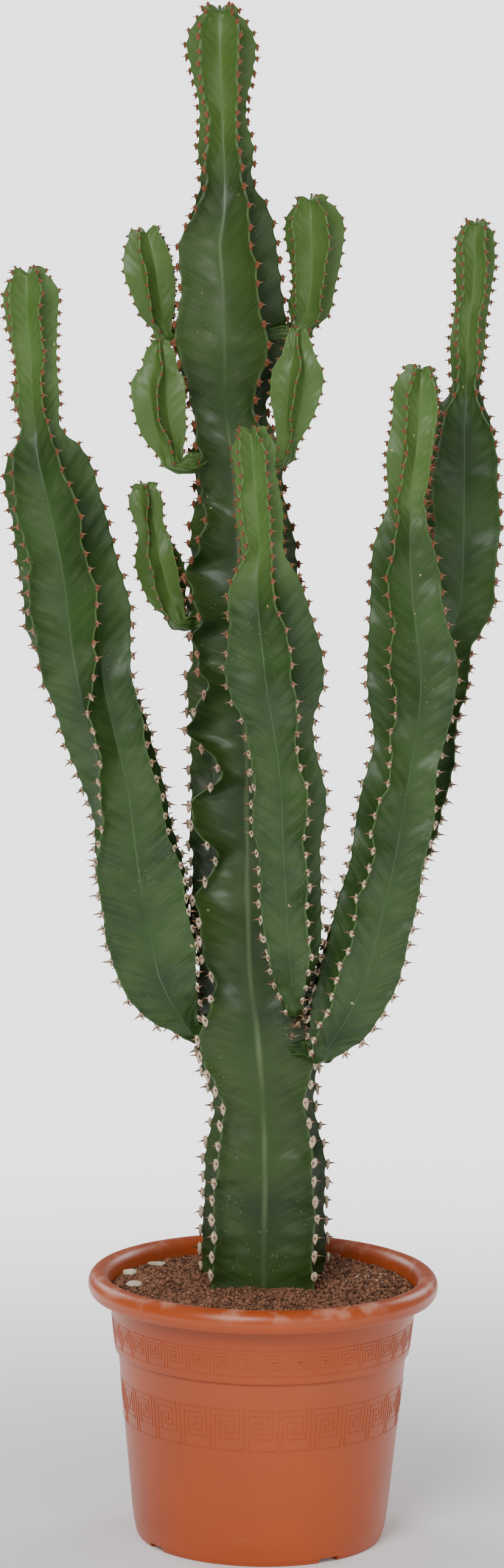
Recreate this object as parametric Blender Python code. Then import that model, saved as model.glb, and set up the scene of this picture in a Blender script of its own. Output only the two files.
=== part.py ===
"""Potted euphorbia: a branching five-ribbed succulent in a moulded nursery pot.

Metres, +Z up. The origin is the centre of the pot's underside.
"""

import math
from collections import namedtuple

import bmesh
import bpy
from mathutils import Matrix, Vector
from mathutils.bvhtree import BVHTree

MM = 0.001
GAP = 0.35 * MM  # clearance between pieces that touch
SOCKET_CLEARANCE = 1.2 * MM  # outward growth of the trunk's section that leaves such a gap

# Pot
RIM_OUTER_RADIUS = 135 * MM
LIP_HALF_WIDTH = 8.2 * MM
LIP_HALF_HEIGHT = 9.6 * MM
LIP_CENTRE_HEIGHT = 197.7 * MM
WALL = 2.8 * MM
UNDER_LIP = (118.0 * MM, 187.0 * MM)  # radius, height
COLLAR_FOOT = (113.8 * MM, 148.0 * MM)
WALL_TOP = (111.0 * MM, 143.5 * MM)
WALL_FOOT = (99.0 * MM, 21.0 * MM)
CHAMFER_TOP = (97.6 * MM, 11.0 * MM)
FOOT_RADIUS = 94.4 * MM
FLOOR_THICKNESS = 8 * MM
POT_SEGMENTS = 64
LIP_STEPS = 8
LIP_HOOK = (180, -50)  # degrees round the lip's section: from the wall, over the top, to the free edge
GROOVE_COUNT = 4
GROOVE_WIDTH = 17 * MM
GROOVE_DEPTH = 3.8 * MM
GROOVE_START = 64 * MM  # radius at which a groove begins
GROOVE_TURN = math.radians(34)
DRAIN_RADIUS = 5.5 * MM
DRAIN_CIRCLE = 73 * MM
DRAIN_SEGMENTS = 16

# Soil
SOIL_EDGE_HEIGHT = 194 * MM
SOIL_CROWN_HEIGHT = 201 * MM
SOIL_SEGMENTS = 48
SOIL_SLOPE_RINGS = (0.94, 0.80, 0.60)  # radii of the slope's rings, as shares of the edge's radius

# Stems
RIBS = 5
RING_SPACING = 17 * MM
END_RISE = 2 * MM  # the base's centre stands this far below its ring
TIP_RISE = 0.30  # how far the rib crests fold over the tip, as a share of the reach
EVEN_HALF_OPENING = math.pi / RIBS  # half the angle between two ribs that are evenly spaced
HOLLOW_LIFT = 0.05  # added to a hollow's share of the core's reach

# Everything in a station is in millimetres and degrees. A stem's face is the
# hollow between its first two ribs: turn is the way that face looks, measured
# from the front (-Y) towards +X, and spread is half the angle between the ribs.
Station = namedtuple("Station", "x y z reach turn spread")
Stem = namedtuple("Stem", "name core stations dips colour")
# A dip draws the ribs in at a growth joint: height, depth as a share of the
# reach for the first rib, and for the other ribs.
Dip = namedtuple("Dip", "height first others")

DIP_LENGTH = 26 * MM
DIP_FALL = 2.2  # a dip's depth falls by exp(-DIP_FALL) one DIP_LENGTH away from its middle

GREEN_OLD = (0.030, 0.085, 0.030)
GREEN_ARM = (0.022, 0.100, 0.028)
GREEN_YOUNG = (0.075, 0.230, 0.055)

TRUNK = Stem(
    "trunk",
    (0.60, 0.40),
    (
        Station(0, 0, 150, 20, 0, 46),
        Station(0, 0, 172, 40, 0, 46),
        Station(0, 0, 200, 52, 0, 47),
        Station(0, 0, 240, 52, 0, 48),
        Station(0, 0, 290, 51, 0, 48),
        Station(-2, 0, 340, 45, 0, 50),
        Station(-7, 0, 395, 56, 0, 52),
        Station(-13, 0, 440, 48, 0, 52),
        Station(-16, 0, 500, 50, 0, 52),
        Station(-18, 0, 600, 50, 0, 52),
        Station(-21, 0, 700, 50, -2, 52),
        Station(-25, 0, 765, 44, -4, 50),
        Station(-30, 0, 828, 37, -6, 48),
        Station(-36, 0, 872, 36, -8, 48),
        Station(-37, 0, 922, 46, -8, 48),
        Station(-37, 0, 960, 41, -14, 48),
        Station(-39, 0, 995, 38, -18, 48),
        Station(-38, 0, 1018, 32, -12, 44),
        Station(-40, 0, 1040, 21.5, -5, 38),
        Station(-41, 0, 1062, 22.5, -3, 36),
        Station(-43, 0, 1090, 18.8, -3, 36),
        Station(-44, 0, 1118, 23.8, -3, 36),
        Station(-45, 0, 1140, 27.2, -3, 36),
        Station(-46, 0, 1155, 23.5, -3, 36),
        Station(-46, 0, 1165, 15, -3, 36),
    ),
    (
        Dip(338, 0.14, 0.04),
        Dip(438, 0.30, 0.06),
        Dip(527, 0.38, 0.06),
        Dip(602, 0.38, 0.06),
        Dip(682, 0.26, 0.06),
        Dip(803, 0.28, 0.04),
        Dip(868, 0.18, 0.16),
    ),
    GREEN_OLD,
)

LEFT_ARM = Stem(
    "left_arm",
    (0.50, 0.42),
    (
        Station(-58, -5, 396, 6, 0, 60),
        Station(-63, -7, 403, 13, 0, 60),
        Station(-73, -12, 420, 25, 0, 60),
        Station(-82, -15, 440, 34, 0, 60),
        Station(-88, -17, 466, 37, 0, 60),
        Station(-94, -18, 495, 38, 0, 60),
        Station(-99, -20, 525, 37, 0, 58),
        Station(-104, -21, 556, 33, 3, 52),
        Station(-110, -23, 588, 32, 9, 42),
        Station(-120, -25, 620, 34.5, 16, 36),
        Station(-134, -27, 661, 34, 32, 36),
        Station(-144, -29, 690, 39, 54, 36),
        Station(-149, -30, 713, 43.5, 62, 36),
        Station(-155, -30, 749, 40, 65, 36),
        Station(-163, -30, 785, 38, 66, 36),
        Station(-171, -30, 820, 36, 64, 36),
        Station(-175, -30, 838, 30, 62, 36),
        Station(-177, -30, 855, 17, 60, 36),
        Station(-180, -30, 880, 18.8, 60, 36),
        Station(-181, -30, 904, 17.5, 60, 36),
        Station(-184, -30, 939, 21.2, 62, 36),
        Station(-185, -30, 958, 22.2, 64, 36),
        Station(-186, -30, 970, 14, 64, 36),
    ),
    (),
    GREEN_ARM,
)

CENTRE_ARM = Stem(
    "centre_arm",
    (0.50, 0.42),
    (
        Station(21, -44, 424, 6, -4, 40),
        Station(20, -50, 434, 12, -6, 40),
        Station(19, -61, 453, 18, -8, 42),
        Station(17, -70, 480, 24, -10, 44),
        Station(15, -75, 515, 25, -12, 46),
        Station(13, -80, 550, 26, -14, 46),
        Station(12, -83, 585, 30.5, -14, 44),
        Station(7, -86, 622, 27, -10, 42),
        Station(4, -88, 642, 28, -12, 42),
        Station(1, -91, 672, 38.5, -16, 42),
        Station(-1, -92, 692, 38.5, -18, 42),
        Station(-5, -94, 721, 34, -19, 40),
        Station(-8, -95, 752, 27, -20, 38),
        Station(-9, -96, 772, 17, -16, 36),
        Station(-11, -96, 797, 19.2, -6, 36),
        Station(-15, -96, 832, 16, -7, 36),
        Station(-16, -96, 848, 17.6, -8, 36),
        Station(-17, -96, 859, 12, -8, 36),
    ),
    (),
    GREEN_ARM,
)

RIGHT_FRONT_ARM = Stem(
    "right_front_arm",
    (0.50, 0.42),
    (
        Station(41, -48, 388, 7, 20, 54),
        Station(45, -50, 396, 15, 20, 54),
        Station(54, -53, 413, 24, 20, 54),
        Station(66, -56, 440, 29, 20, 52),
        Station(75, -58, 470, 31, 18, 50),
        Station(82, -60, 502, 31, 16, 48),
        Station(89, -61, 531, 29.5, 14, 46),
        Station(94, -62, 562, 31, 14, 46),
        Station(98, -62, 592, 29.5, 16, 46),
        Station(103, -62, 624, 26.8, 18, 46),
        Station(106, -62, 660, 34.5, 18, 46),
        Station(106, -62, 682, 36, 18, 46),
        Station(101, -62, 730, 29.5, 16, 46),
        Station(98, -62, 772, 25, 16, 44),
        Station(99, -62, 799, 17, 14, 40),
        Station(99, -62, 812, 15.5, 12, 36),
        Station(101, -62, 836, 19.3, 14, 36),
        Station(104, -62, 869, 18.3, 15, 36),
        Station(105, -62, 892, 18.5, 10, 36),
        Station(106, -62, 904, 12, 10, 36),
    ),
    (),
    GREEN_ARM,
)

RIGHT_BACK_ARM = Stem(
    "right_back_arm",
    (0.50, 0.42),
    (
        Station(44, 24, 432, 6, 10, 50),
        Station(50, 28, 440, 12, 10, 50),
        Station(62, 33, 458, 19, 10, 50),
        Station(78, 36, 485, 24, 10, 50),
        Station(94, 38, 520, 26, 10, 50),
        Station(106, 38, 555, 27, 10, 50),
        Station(115, 37, 590, 27, 10, 50),
        Station(120, 36, 630, 26, 10, 50),
        Station(126, 35, 665, 27, 10, 50),
        Station(133, 34, 698, 25, 10, 50),
        Station(140, 33, 722, 30, 10, 50),
        Station(142, 32, 755, 32, 10, 52),
        Station(142, 32, 790, 32.5, 10, 54),
        Station(142, 31, 830, 31, 8, 52),
        Station(142, 30, 862, 25, 6, 46),
        Station(144, 30, 884, 13, 2, 36),
        Station(144, 30, 914, 13.8, -2, 36),
        Station(147, 30, 950, 14.2, -4, 36),
        Station(149, 30, 989, 16, -4, 36),
        Station(149, 30, 1004, 14.5, -4, 36),
        Station(149, 30, 1010, 10, -4, 36),
    ),
    (),
    GREEN_ARM,
)

UPPER_LEFT_OFFSET = Stem(
    "upper_left_offset",
    (0.50, 0.40),
    (
        Station(-84, 14, 925, 5, 20, 36),
        Station(-86, 13, 932, 9, 20, 36),
        Station(-89, 12, 942, 14.5, 20, 36),
        Station(-92, 12, 956, 17.6, 21, 36),
        Station(-95, 12, 973, 21, 21, 36),
        Station(-98, 12, 989, 18.7, 21, 36),
        Station(-100, 12, 1000, 13, 22, 36),
    ),
    (),
    GREEN_YOUNG,
)

LOWER_LEFT_OFFSET = Stem(
    "lower_left_offset",
    (0.50, 0.40),
    (
        Station(-76, -25, 831, 5, 36, 36),
        Station(-78, -25, 839, 10, 36, 36),
        Station(-83, -24, 855, 18, 36, 36),
        Station(-87, -24, 875, 21.5, 36, 36),
        Station(-88, -24, 892, 21, 36, 36),
        Station(-87, -23, 903, 14, 36, 36),
        Station(-87, -23, 912, 12.5, 36, 36),
        Station(-87, -23, 920, 8, 36, 36),
    ),
    (),
    GREEN_YOUNG,
)

SMALL_LEFT_OFFSET = Stem(
    "small_left_offset",
    (0.50, 0.40),
    (
        Station(-71, 8, 709, 5, 10, 36),
        Station(-74, 8, 716, 9, 10, 36),
        Station(-79, 8, 728, 16, 10, 36),
        Station(-84, 7, 744, 19, 10, 36),
        Station(-88, 6, 758, 18, 12, 36),
        Station(-91, 5, 772, 13, 25, 36),
        Station(-94, 5, 783, 11.5, 36, 36),
        Station(-97, 5, 800, 14, 36, 36),
        Station(-98, 5, 810, 10, 36, 36),
    ),
    (),
    GREEN_YOUNG,
)

UPPER_RIGHT_OFFSET = Stem(
    "upper_right_offset",
    (0.50, 0.40),
    (
        Station(17, 10, 928, 5, -6, 36),
        Station(19, 10, 935, 10, -6, 36),
        Station(23, 9, 946, 17, -6, 36),
        Station(26, 8, 962, 17.8, -7, 36),
        Station(27, 8, 984, 20.6, -10, 36),
        Station(26, 8, 1006, 24, -9, 36),
        Station(25, 8, 1018, 21, -6, 36),
        Station(24, 8, 1026, 13, -6, 36),
    ),
    (),
    GREEN_YOUNG,
)

LOWER_RIGHT_OFFSET = Stem(
    "lower_right_offset",
    (0.50, 0.40),
    (
        Station(6, -33, 838, 5, -30, 36),
        Station(8, -35, 848, 9, -30, 36),
        Station(12, -38, 866, 15, -34, 36),
        Station(14, -39, 884, 19.5, -36, 36),
        Station(16, -39, 902, 20, -38, 36),
        Station(16, -38, 914, 14, -38, 36),
        Station(16, -38, 922, 11.5, -38, 36),
        Station(16, -38, 931, 8, -38, 36),
    ),
    (),
    GREEN_YOUNG,
)

SIDE_STEMS = (
    LEFT_ARM,
    CENTRE_ARM,
    RIGHT_FRONT_ARM,
    RIGHT_BACK_ARM,
    UPPER_LEFT_OFFSET,
    LOWER_LEFT_OFFSET,
    SMALL_LEFT_OFFSET,
    UPPER_RIGHT_OFFSET,
    LOWER_RIGHT_OFFSET,
)

# Pale stones on the soil: x, y, length, width, thickness (mm) and turn (degrees)
Stone = namedtuple("Stone", "name x y length width thickness turn")
STONES = (
    Stone("stone_1", -84, 60, 14, 8, 4.5, 10),
    Stone("stone_2", -104, 30, 9, 12, 6, 35),
    Stone("stone_3", -99, -12, 12, 10, 6, -15),
)

BURIED_TRUNK_TOP = 214 * MM  # the socket's cutter reaches this high
STONE_SUBDIVISIONS = 2

# Edges sharper than this, in degrees, stay sharp when a piece is shaded smooth
MOULDED_SHARP = 40
GROWN_SHARP = 60


def clear_scene():
    """Empties the scene before anything is made."""
    for obj in list(bpy.data.objects):
        bpy.data.objects.remove(obj, do_unlink=True)


def make_material(name, colour, roughness):
    """A plain Principled BSDF material with a linear colour."""
    material = bpy.data.materials.new(name)
    material.use_nodes = True
    shader = material.node_tree.nodes["Principled BSDF"]
    shader.inputs["Base Color"].default_value = (*colour, 1)
    shader.inputs["Roughness"].default_value = roughness
    shader.inputs["Metallic"].default_value = 0
    material.diffuse_color = (*colour, 1)
    return material


def add_object(name, bm, material, sharp_angle=None):
    """Turns a bmesh into an object in the scene; sharp_angle, in degrees, shades it smooth."""
    bmesh.ops.recalc_face_normals(bm, faces=bm.faces)
    mesh = bpy.data.meshes.new(name)
    bm.to_mesh(mesh)
    bm.free()
    mesh.materials.append(material)
    if sharp_angle is not None:
        mesh.shade_smooth()
        mesh.set_sharp_from_angle(angle=math.radians(sharp_angle))
    obj = bpy.data.objects.new(name, mesh)
    bpy.context.scene.collection.objects.link(obj)
    return obj


def spun_solid(profile, segments):
    """A solid of revolution about Z from (radius, height) points. The first and last are on the axis."""
    bm = bmesh.new()
    verts = [bm.verts.new((radius, 0, height)) for radius, height in profile]
    edges = [bm.edges.new(pair) for pair in zip(verts, verts[1:])]
    bmesh.ops.spin(
        bm,
        geom=verts + edges,
        cent=(0, 0, 0),
        axis=(0, 0, 1),
        angle=math.tau,
        steps=segments,
        use_merge=True,
    )
    bmesh.ops.remove_doubles(bm, verts=bm.verts, dist=0.01 * MM)
    bmesh.ops.dissolve_degenerate(bm, dist=0.001 * MM, edges=bm.edges)
    return bm


def arc(centre, half_width, half_height, start, end, steps):
    """Points along an upright ellipse, between two angles in degrees."""
    points = []
    for step in range(steps + 1):
        angle = math.radians(start + (end - start) * step / steps)
        points.append(
            (centre[0] + half_width * math.cos(angle), centre[1] + half_height * math.sin(angle))
        )
    return points


def inner_wall(point):
    """The point of the pot's inner face that lies level with one of its outer face."""
    return (point[0] - WALL, point[1])


def pot_profile():
    """From the axis under the foot, up the outside, over the rolled lip and down the inside."""
    lip_centre = (RIM_OUTER_RADIUS - LIP_HALF_WIDTH, LIP_CENTRE_HEIGHT)
    outside = [(0, 0), (FOOT_RADIUS, 0), CHAMFER_TOP, WALL_FOOT, WALL_TOP, COLLAR_FOOT, UNDER_LIP]
    at_wall, at_edge = LIP_HOOK
    lip_under = arc(
        lip_centre, LIP_HALF_WIDTH - WALL, LIP_HALF_HEIGHT - WALL, at_wall, at_edge, LIP_STEPS
    )
    lip_over = arc(lip_centre, LIP_HALF_WIDTH, LIP_HALF_HEIGHT, at_edge, at_wall, LIP_STEPS)
    inside = [inner_wall(point) for point in (UNDER_LIP, COLLAR_FOOT, WALL_TOP, WALL_FOOT)]
    floor_edge = (FOOT_RADIUS - WALL, FLOOR_THICKNESS)
    return outside + lip_under + lip_over + inside + [floor_edge, (0, FLOOR_THICKNESS)]


def groove_angles():
    """The directions of the grooves and their drain holes, measured from +X."""
    return [GROOVE_TURN + math.tau * index / GROOVE_COUNT - math.pi / 2 for index in range(GROOVE_COUNT)]


def groove_cutter():
    """The cutter of the radial grooves under the foot."""
    bm = bmesh.new()
    length = RIM_OUTER_RADIUS - GROOVE_START
    for angle in groove_angles():
        made = bmesh.ops.create_cube(bm, size=1)["verts"]
        bmesh.ops.scale(bm, vec=(length, GROOVE_WIDTH, 2 * GROOVE_DEPTH), verts=made)
        bmesh.ops.translate(bm, vec=(GROOVE_START + length / 2, 0, 0), verts=made)
        bmesh.ops.rotate(bm, cent=(0, 0, 0), matrix=Matrix.Rotation(angle, 3, "Z"), verts=made)
    return hidden_cutter("pot_groove_cutter", bm)


def drain_cutter():
    """The cutter of the drain holes, one to each groove."""
    bm = bmesh.new()
    for angle in groove_angles():
        made = bmesh.ops.create_cone(
            bm,
            cap_ends=True,
            segments=DRAIN_SEGMENTS,
            radius1=DRAIN_RADIUS,
            radius2=DRAIN_RADIUS,
            depth=4 * FLOOR_THICKNESS,
        )["verts"]
        place = (DRAIN_CIRCLE * math.cos(angle), DRAIN_CIRCLE * math.sin(angle), 0)
        bmesh.ops.translate(bm, vec=place, verts=made)
    return hidden_cutter("pot_drain_cutter", bm)


def hidden_cutter(name, bm):
    """Turns a bmesh into a cutter, which isn't a piece of the plant."""
    cutter = add_object(name, bm, make_material(name, (0.5, 0.5, 0.5), 0.5))
    cutter.hide_render = True
    cutter.display_type = "WIRE"
    return cutter


def cut(obj, cutter):
    """Takes the cutter's shape out of the object."""
    modifier = obj.modifiers.new(cutter.name, "BOOLEAN")
    modifier.operation = "DIFFERENCE"
    modifier.solver = "EXACT"
    modifier.object = cutter


def make_pot():
    """The moulded pot with its grooved, drilled foot."""
    material = make_material("pot_plastic", (0.48, 0.105, 0.030), 0.42)
    pot = add_object("pot", spun_solid(pot_profile(), POT_SEGMENTS), material, MOULDED_SHARP)
    cut(pot, groove_cutter())
    cut(pot, drain_cutter())


def make_soil(trunk_cutter):
    """The soil fills the pot up to its lip and stands slightly higher round the trunk."""
    wall = [inner_wall(point) for point in (WALL_FOOT, WALL_TOP, COLLAR_FOOT, UNDER_LIP)]
    fitted = [(radius - GAP, height) for radius, height in wall]
    edge_radius = fitted[-1][0]
    floor = FLOOR_THICKNESS + GAP
    profile = [(0, floor), (FOOT_RADIUS - WALL - 2 * GAP, floor)] + fitted
    profile.append((edge_radius, SOIL_EDGE_HEIGHT))
    rise = SOIL_CROWN_HEIGHT - SOIL_EDGE_HEIGHT
    for share in SOIL_SLOPE_RINGS:
        height = SOIL_EDGE_HEIGHT + rise * math.cos(share * math.pi / 2)
        profile.append((edge_radius * share, height))
    profile.append((0, SOIL_CROWN_HEIGHT))
    material = make_material("soil_mix", (0.105, 0.045, 0.026), 0.95)
    soil = add_object("soil", spun_solid(profile, SOIL_SEGMENTS), material, MOULDED_SHARP)
    cut(soil, trunk_cutter)


def spline_value(keys, index, share):
    """Catmull-Rom between keys[index] and keys[index + 1]; every key is a tuple of numbers."""
    last = len(keys) - 1
    before, start = keys[max(index - 1, 0)], keys[index]
    end, after = keys[index + 1], keys[min(index + 2, last)]
    values = []
    for a, b, c, d in zip(before, start, end, after):
        values.append(
            b
            + 0.5 * share * (c - a)
            + share**2 * (a - 2.5 * b + 2 * c - 0.5 * d)
            + share**3 * (1.5 * b - 0.5 * a - 1.5 * c + 0.5 * d)
        )
    return Station(*values)


def smooth_stations(stations):
    """Stations at an even spacing along the smooth curve through the given ones."""
    fine = []
    for index in range(len(stations) - 1):
        first, second = stations[index], stations[index + 1]
        length = (Vector(second[:3]) - Vector(first[:3])).length * MM
        steps = max(1, round(length / RING_SPACING))
        for step in range(steps):
            fine.append(spline_value(stations, index, step / steps))
    fine.append(stations[-1])
    return fine


def rib_directions(station):
    """The five rib angles in radians, going round from the face's left rib."""
    turn, spread = math.radians(station.turn), math.radians(station.spread)
    rest = (math.tau - 2 * spread) / (RIBS - 1)
    return [turn - spread] + [turn + spread + rest * index for index in range(RIBS - 1)]


def dip_factor(stem, height, rib):
    """The share of its reach that a rib keeps at this height, below 1 near a growth joint."""
    factor = 1.0
    for dip in stem.dips:
        depth = dip.first if rib == 0 else dip.others
        away = (height - dip.height * MM) / DIP_LENGTH
        factor *= 1 - depth * math.exp(-DIP_FALL * away * away)
    return factor


def section(stem, station, axis, share, grow):
    """One star-shaped ring: crest and hollow in turn, ten points in all."""
    centre = Vector(station[:3]) * MM
    front = Vector((0, -1, 0))
    front = (front - axis * front.dot(axis)).normalized()
    side = axis.cross(front)
    core = stem.core[0] + (stem.core[1] - stem.core[0]) * share
    angles = rib_directions(station)
    points = []
    for rib, angle in enumerate(angles):
        following = angles[rib + 1] if rib < RIBS - 1 else angles[0] + math.tau
        reach = station.reach * MM * dip_factor(stem, centre.z, rib) + grow
        crest = front * math.cos(angle) + side * math.sin(angle)
        middle = (angle + following) / 2
        hollow = front * math.cos(middle) + side * math.sin(middle)
        hollow_reach = station.reach * MM * core * hollow_share(following - angle) + grow
        points.append(centre + crest * reach)
        points.append(centre + hollow * hollow_reach)
    return points


def hollow_share(opening):
    """A wide hollow is flatter than a narrow one, so its floor stays near the centre's circle."""
    return min(1.0, math.cos(opening / 2) / math.cos(EVEN_HALF_OPENING) + HOLLOW_LIFT)


def stem_bmesh(stem, grow=0.0, below=None, parent=None):
    """The stem as a closed loft of rings.

    below keeps only its foot, for the soil's socket. parent is the BVH tree of
    the stem that this one grows from: the foot then comes to a point against it.
    """
    fine = smooth_stations(stem.stations)
    last = len(fine) - 1
    bm = bmesh.new()
    rings = []
    for index, station in enumerate(fine):
        if below is not None and station.z * MM > below:
            break
        ahead = Vector(fine[min(index + 1, last)][:3])
        behind = Vector(fine[max(index - 1, 0)][:3])
        axis = (ahead - behind).normalized()
        points = section(stem, station, axis, index / last, grow)
        rings.append([bm.verts.new(point) for point in points])
    for lower, upper in zip(rings, rings[1:]):
        for index in range(len(lower)):
            after = (index + 1) % len(lower)
            bm.faces.new((lower[index], lower[after], upper[after], upper[index]))
    top = fine[len(rings) - 1]
    foot = Vector(fine[0][:3]) * MM
    if parent is None:
        foot.z -= END_RISE + grow
    else:
        contact = parent.find_nearest(foot)[0]
        foot = contact + (foot - contact).normalized() * GAP
    close_end(bm, rings[0], foot)
    close_end(bm, rings[-1], (Vector(top[:3]) + Vector((0, 0, TIP_RISE * top.reach))) * MM)
    return bm


def close_end(bm, ring, point):
    """Closes a ring with a fan of faces round one point."""
    pole = bm.verts.new(point)
    for index, vert in enumerate(ring):
        bm.faces.new((vert, ring[(index + 1) % len(ring)], pole))


def make_stem(stem, parent=None):
    """The stem as an object with its own skin material."""
    material = make_material(stem.name + "_skin", stem.colour, 0.45)
    bm = stem_bmesh(stem, parent=parent)
    bmesh.ops.triangulate(bm, faces=bm.faces)
    add_object(stem.name, bm, material, GROWN_SHARP)


def make_stone(stone, material):
    """A flattened pebble resting just above the soil's slope."""
    bm = bmesh.new()
    bmesh.ops.create_icosphere(bm, subdivisions=STONE_SUBDIVISIONS, radius=0.5 * MM)
    size = (stone.length, stone.width, stone.thickness)
    bmesh.ops.scale(bm, vec=size, verts=bm.verts)
    turn = Matrix.Rotation(math.radians(stone.turn), 3, "Z")
    bmesh.ops.rotate(bm, cent=(0, 0, 0), matrix=turn, verts=bm.verts)
    radius = math.hypot(stone.x, stone.y) * MM
    edge_radius = UNDER_LIP[0] - WALL
    inner = max(radius - stone.length * MM / 2, 0) / edge_radius
    rise = SOIL_CROWN_HEIGHT - SOIL_EDGE_HEIGHT
    ground = SOIL_EDGE_HEIGHT + rise * math.cos(min(inner, 1) * math.pi / 2)
    height = ground + GAP + stone.thickness * MM / 2
    bmesh.ops.translate(bm, vec=(stone.x * MM, stone.y * MM, height), verts=bm.verts)
    add_object(stone.name, bm, material, GROWN_SHARP)


def main():
    """Builds the pot, the soil, the stems and the stones, in that order."""
    clear_scene()
    make_pot()
    socket = stem_bmesh(TRUNK, grow=SOCKET_CLEARANCE, below=BURIED_TRUNK_TOP)
    make_soil(hidden_cutter("trunk_socket", socket))
    make_stem(TRUNK)
    trunk_tree = BVHTree.FromBMesh(stem_bmesh(TRUNK))
    for stem in SIDE_STEMS:
        make_stem(stem, trunk_tree)
    pale = make_material("pale_stone", (0.62, 0.56, 0.44), 0.7)
    for stone in STONES:
        make_stone(stone, pale)


main()
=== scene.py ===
"""Looks of the potted euphorbia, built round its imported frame.

Every stem is lofted over the ribs of its frame node, so its route and its size
come from the frame. The pot, the soil and the stones are built the same way.
Everything is in metres, +Z up, with the front of the plant towards -Y.
"""

import logging
import math
import random
from dataclasses import dataclass
from enum import Enum

import bmesh
import bpy
import numpy as np
from mathutils import Matrix, Quaternion, Vector, noise


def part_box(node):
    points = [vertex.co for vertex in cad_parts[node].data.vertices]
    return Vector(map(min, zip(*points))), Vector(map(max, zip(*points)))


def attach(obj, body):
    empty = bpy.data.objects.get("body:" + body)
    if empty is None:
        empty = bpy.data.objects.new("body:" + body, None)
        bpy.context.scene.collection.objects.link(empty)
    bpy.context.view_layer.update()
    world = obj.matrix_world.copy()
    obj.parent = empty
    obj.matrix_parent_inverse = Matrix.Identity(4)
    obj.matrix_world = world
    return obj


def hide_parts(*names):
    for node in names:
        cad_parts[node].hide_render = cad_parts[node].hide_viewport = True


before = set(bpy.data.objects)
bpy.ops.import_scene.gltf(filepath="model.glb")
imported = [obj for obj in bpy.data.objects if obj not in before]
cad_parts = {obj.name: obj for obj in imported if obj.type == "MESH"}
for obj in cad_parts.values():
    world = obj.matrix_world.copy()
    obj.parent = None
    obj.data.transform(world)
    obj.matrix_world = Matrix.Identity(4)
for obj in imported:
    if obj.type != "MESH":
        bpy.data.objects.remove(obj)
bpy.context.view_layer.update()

MM = 0.001
BODY = "root"
RIBS = 5
WELD = 1e-6  # points this close are one
UP = Vector((0, 0, 1))

Socket = bpy.types.NodeSocket
Triple = tuple[float, float, float]
Pair = tuple[float, float]

log = logging.getLogger("euphorbia")


class Growth(Enum):
    """How old a stem's skin is, which sets its colour, its teeth and its spines."""

    OLD = "old"
    ARM = "arm"
    YOUNG = "young"


# ---------------------------------------------------------------- node trees


@dataclass(frozen=True)
class Patches:
    """Soft-edged patches: noise of one scale and detail, cut between two levels."""

    scale: float
    detail: float
    low: float
    high: float
    stretch: Triple = (1, 1, 1)


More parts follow.
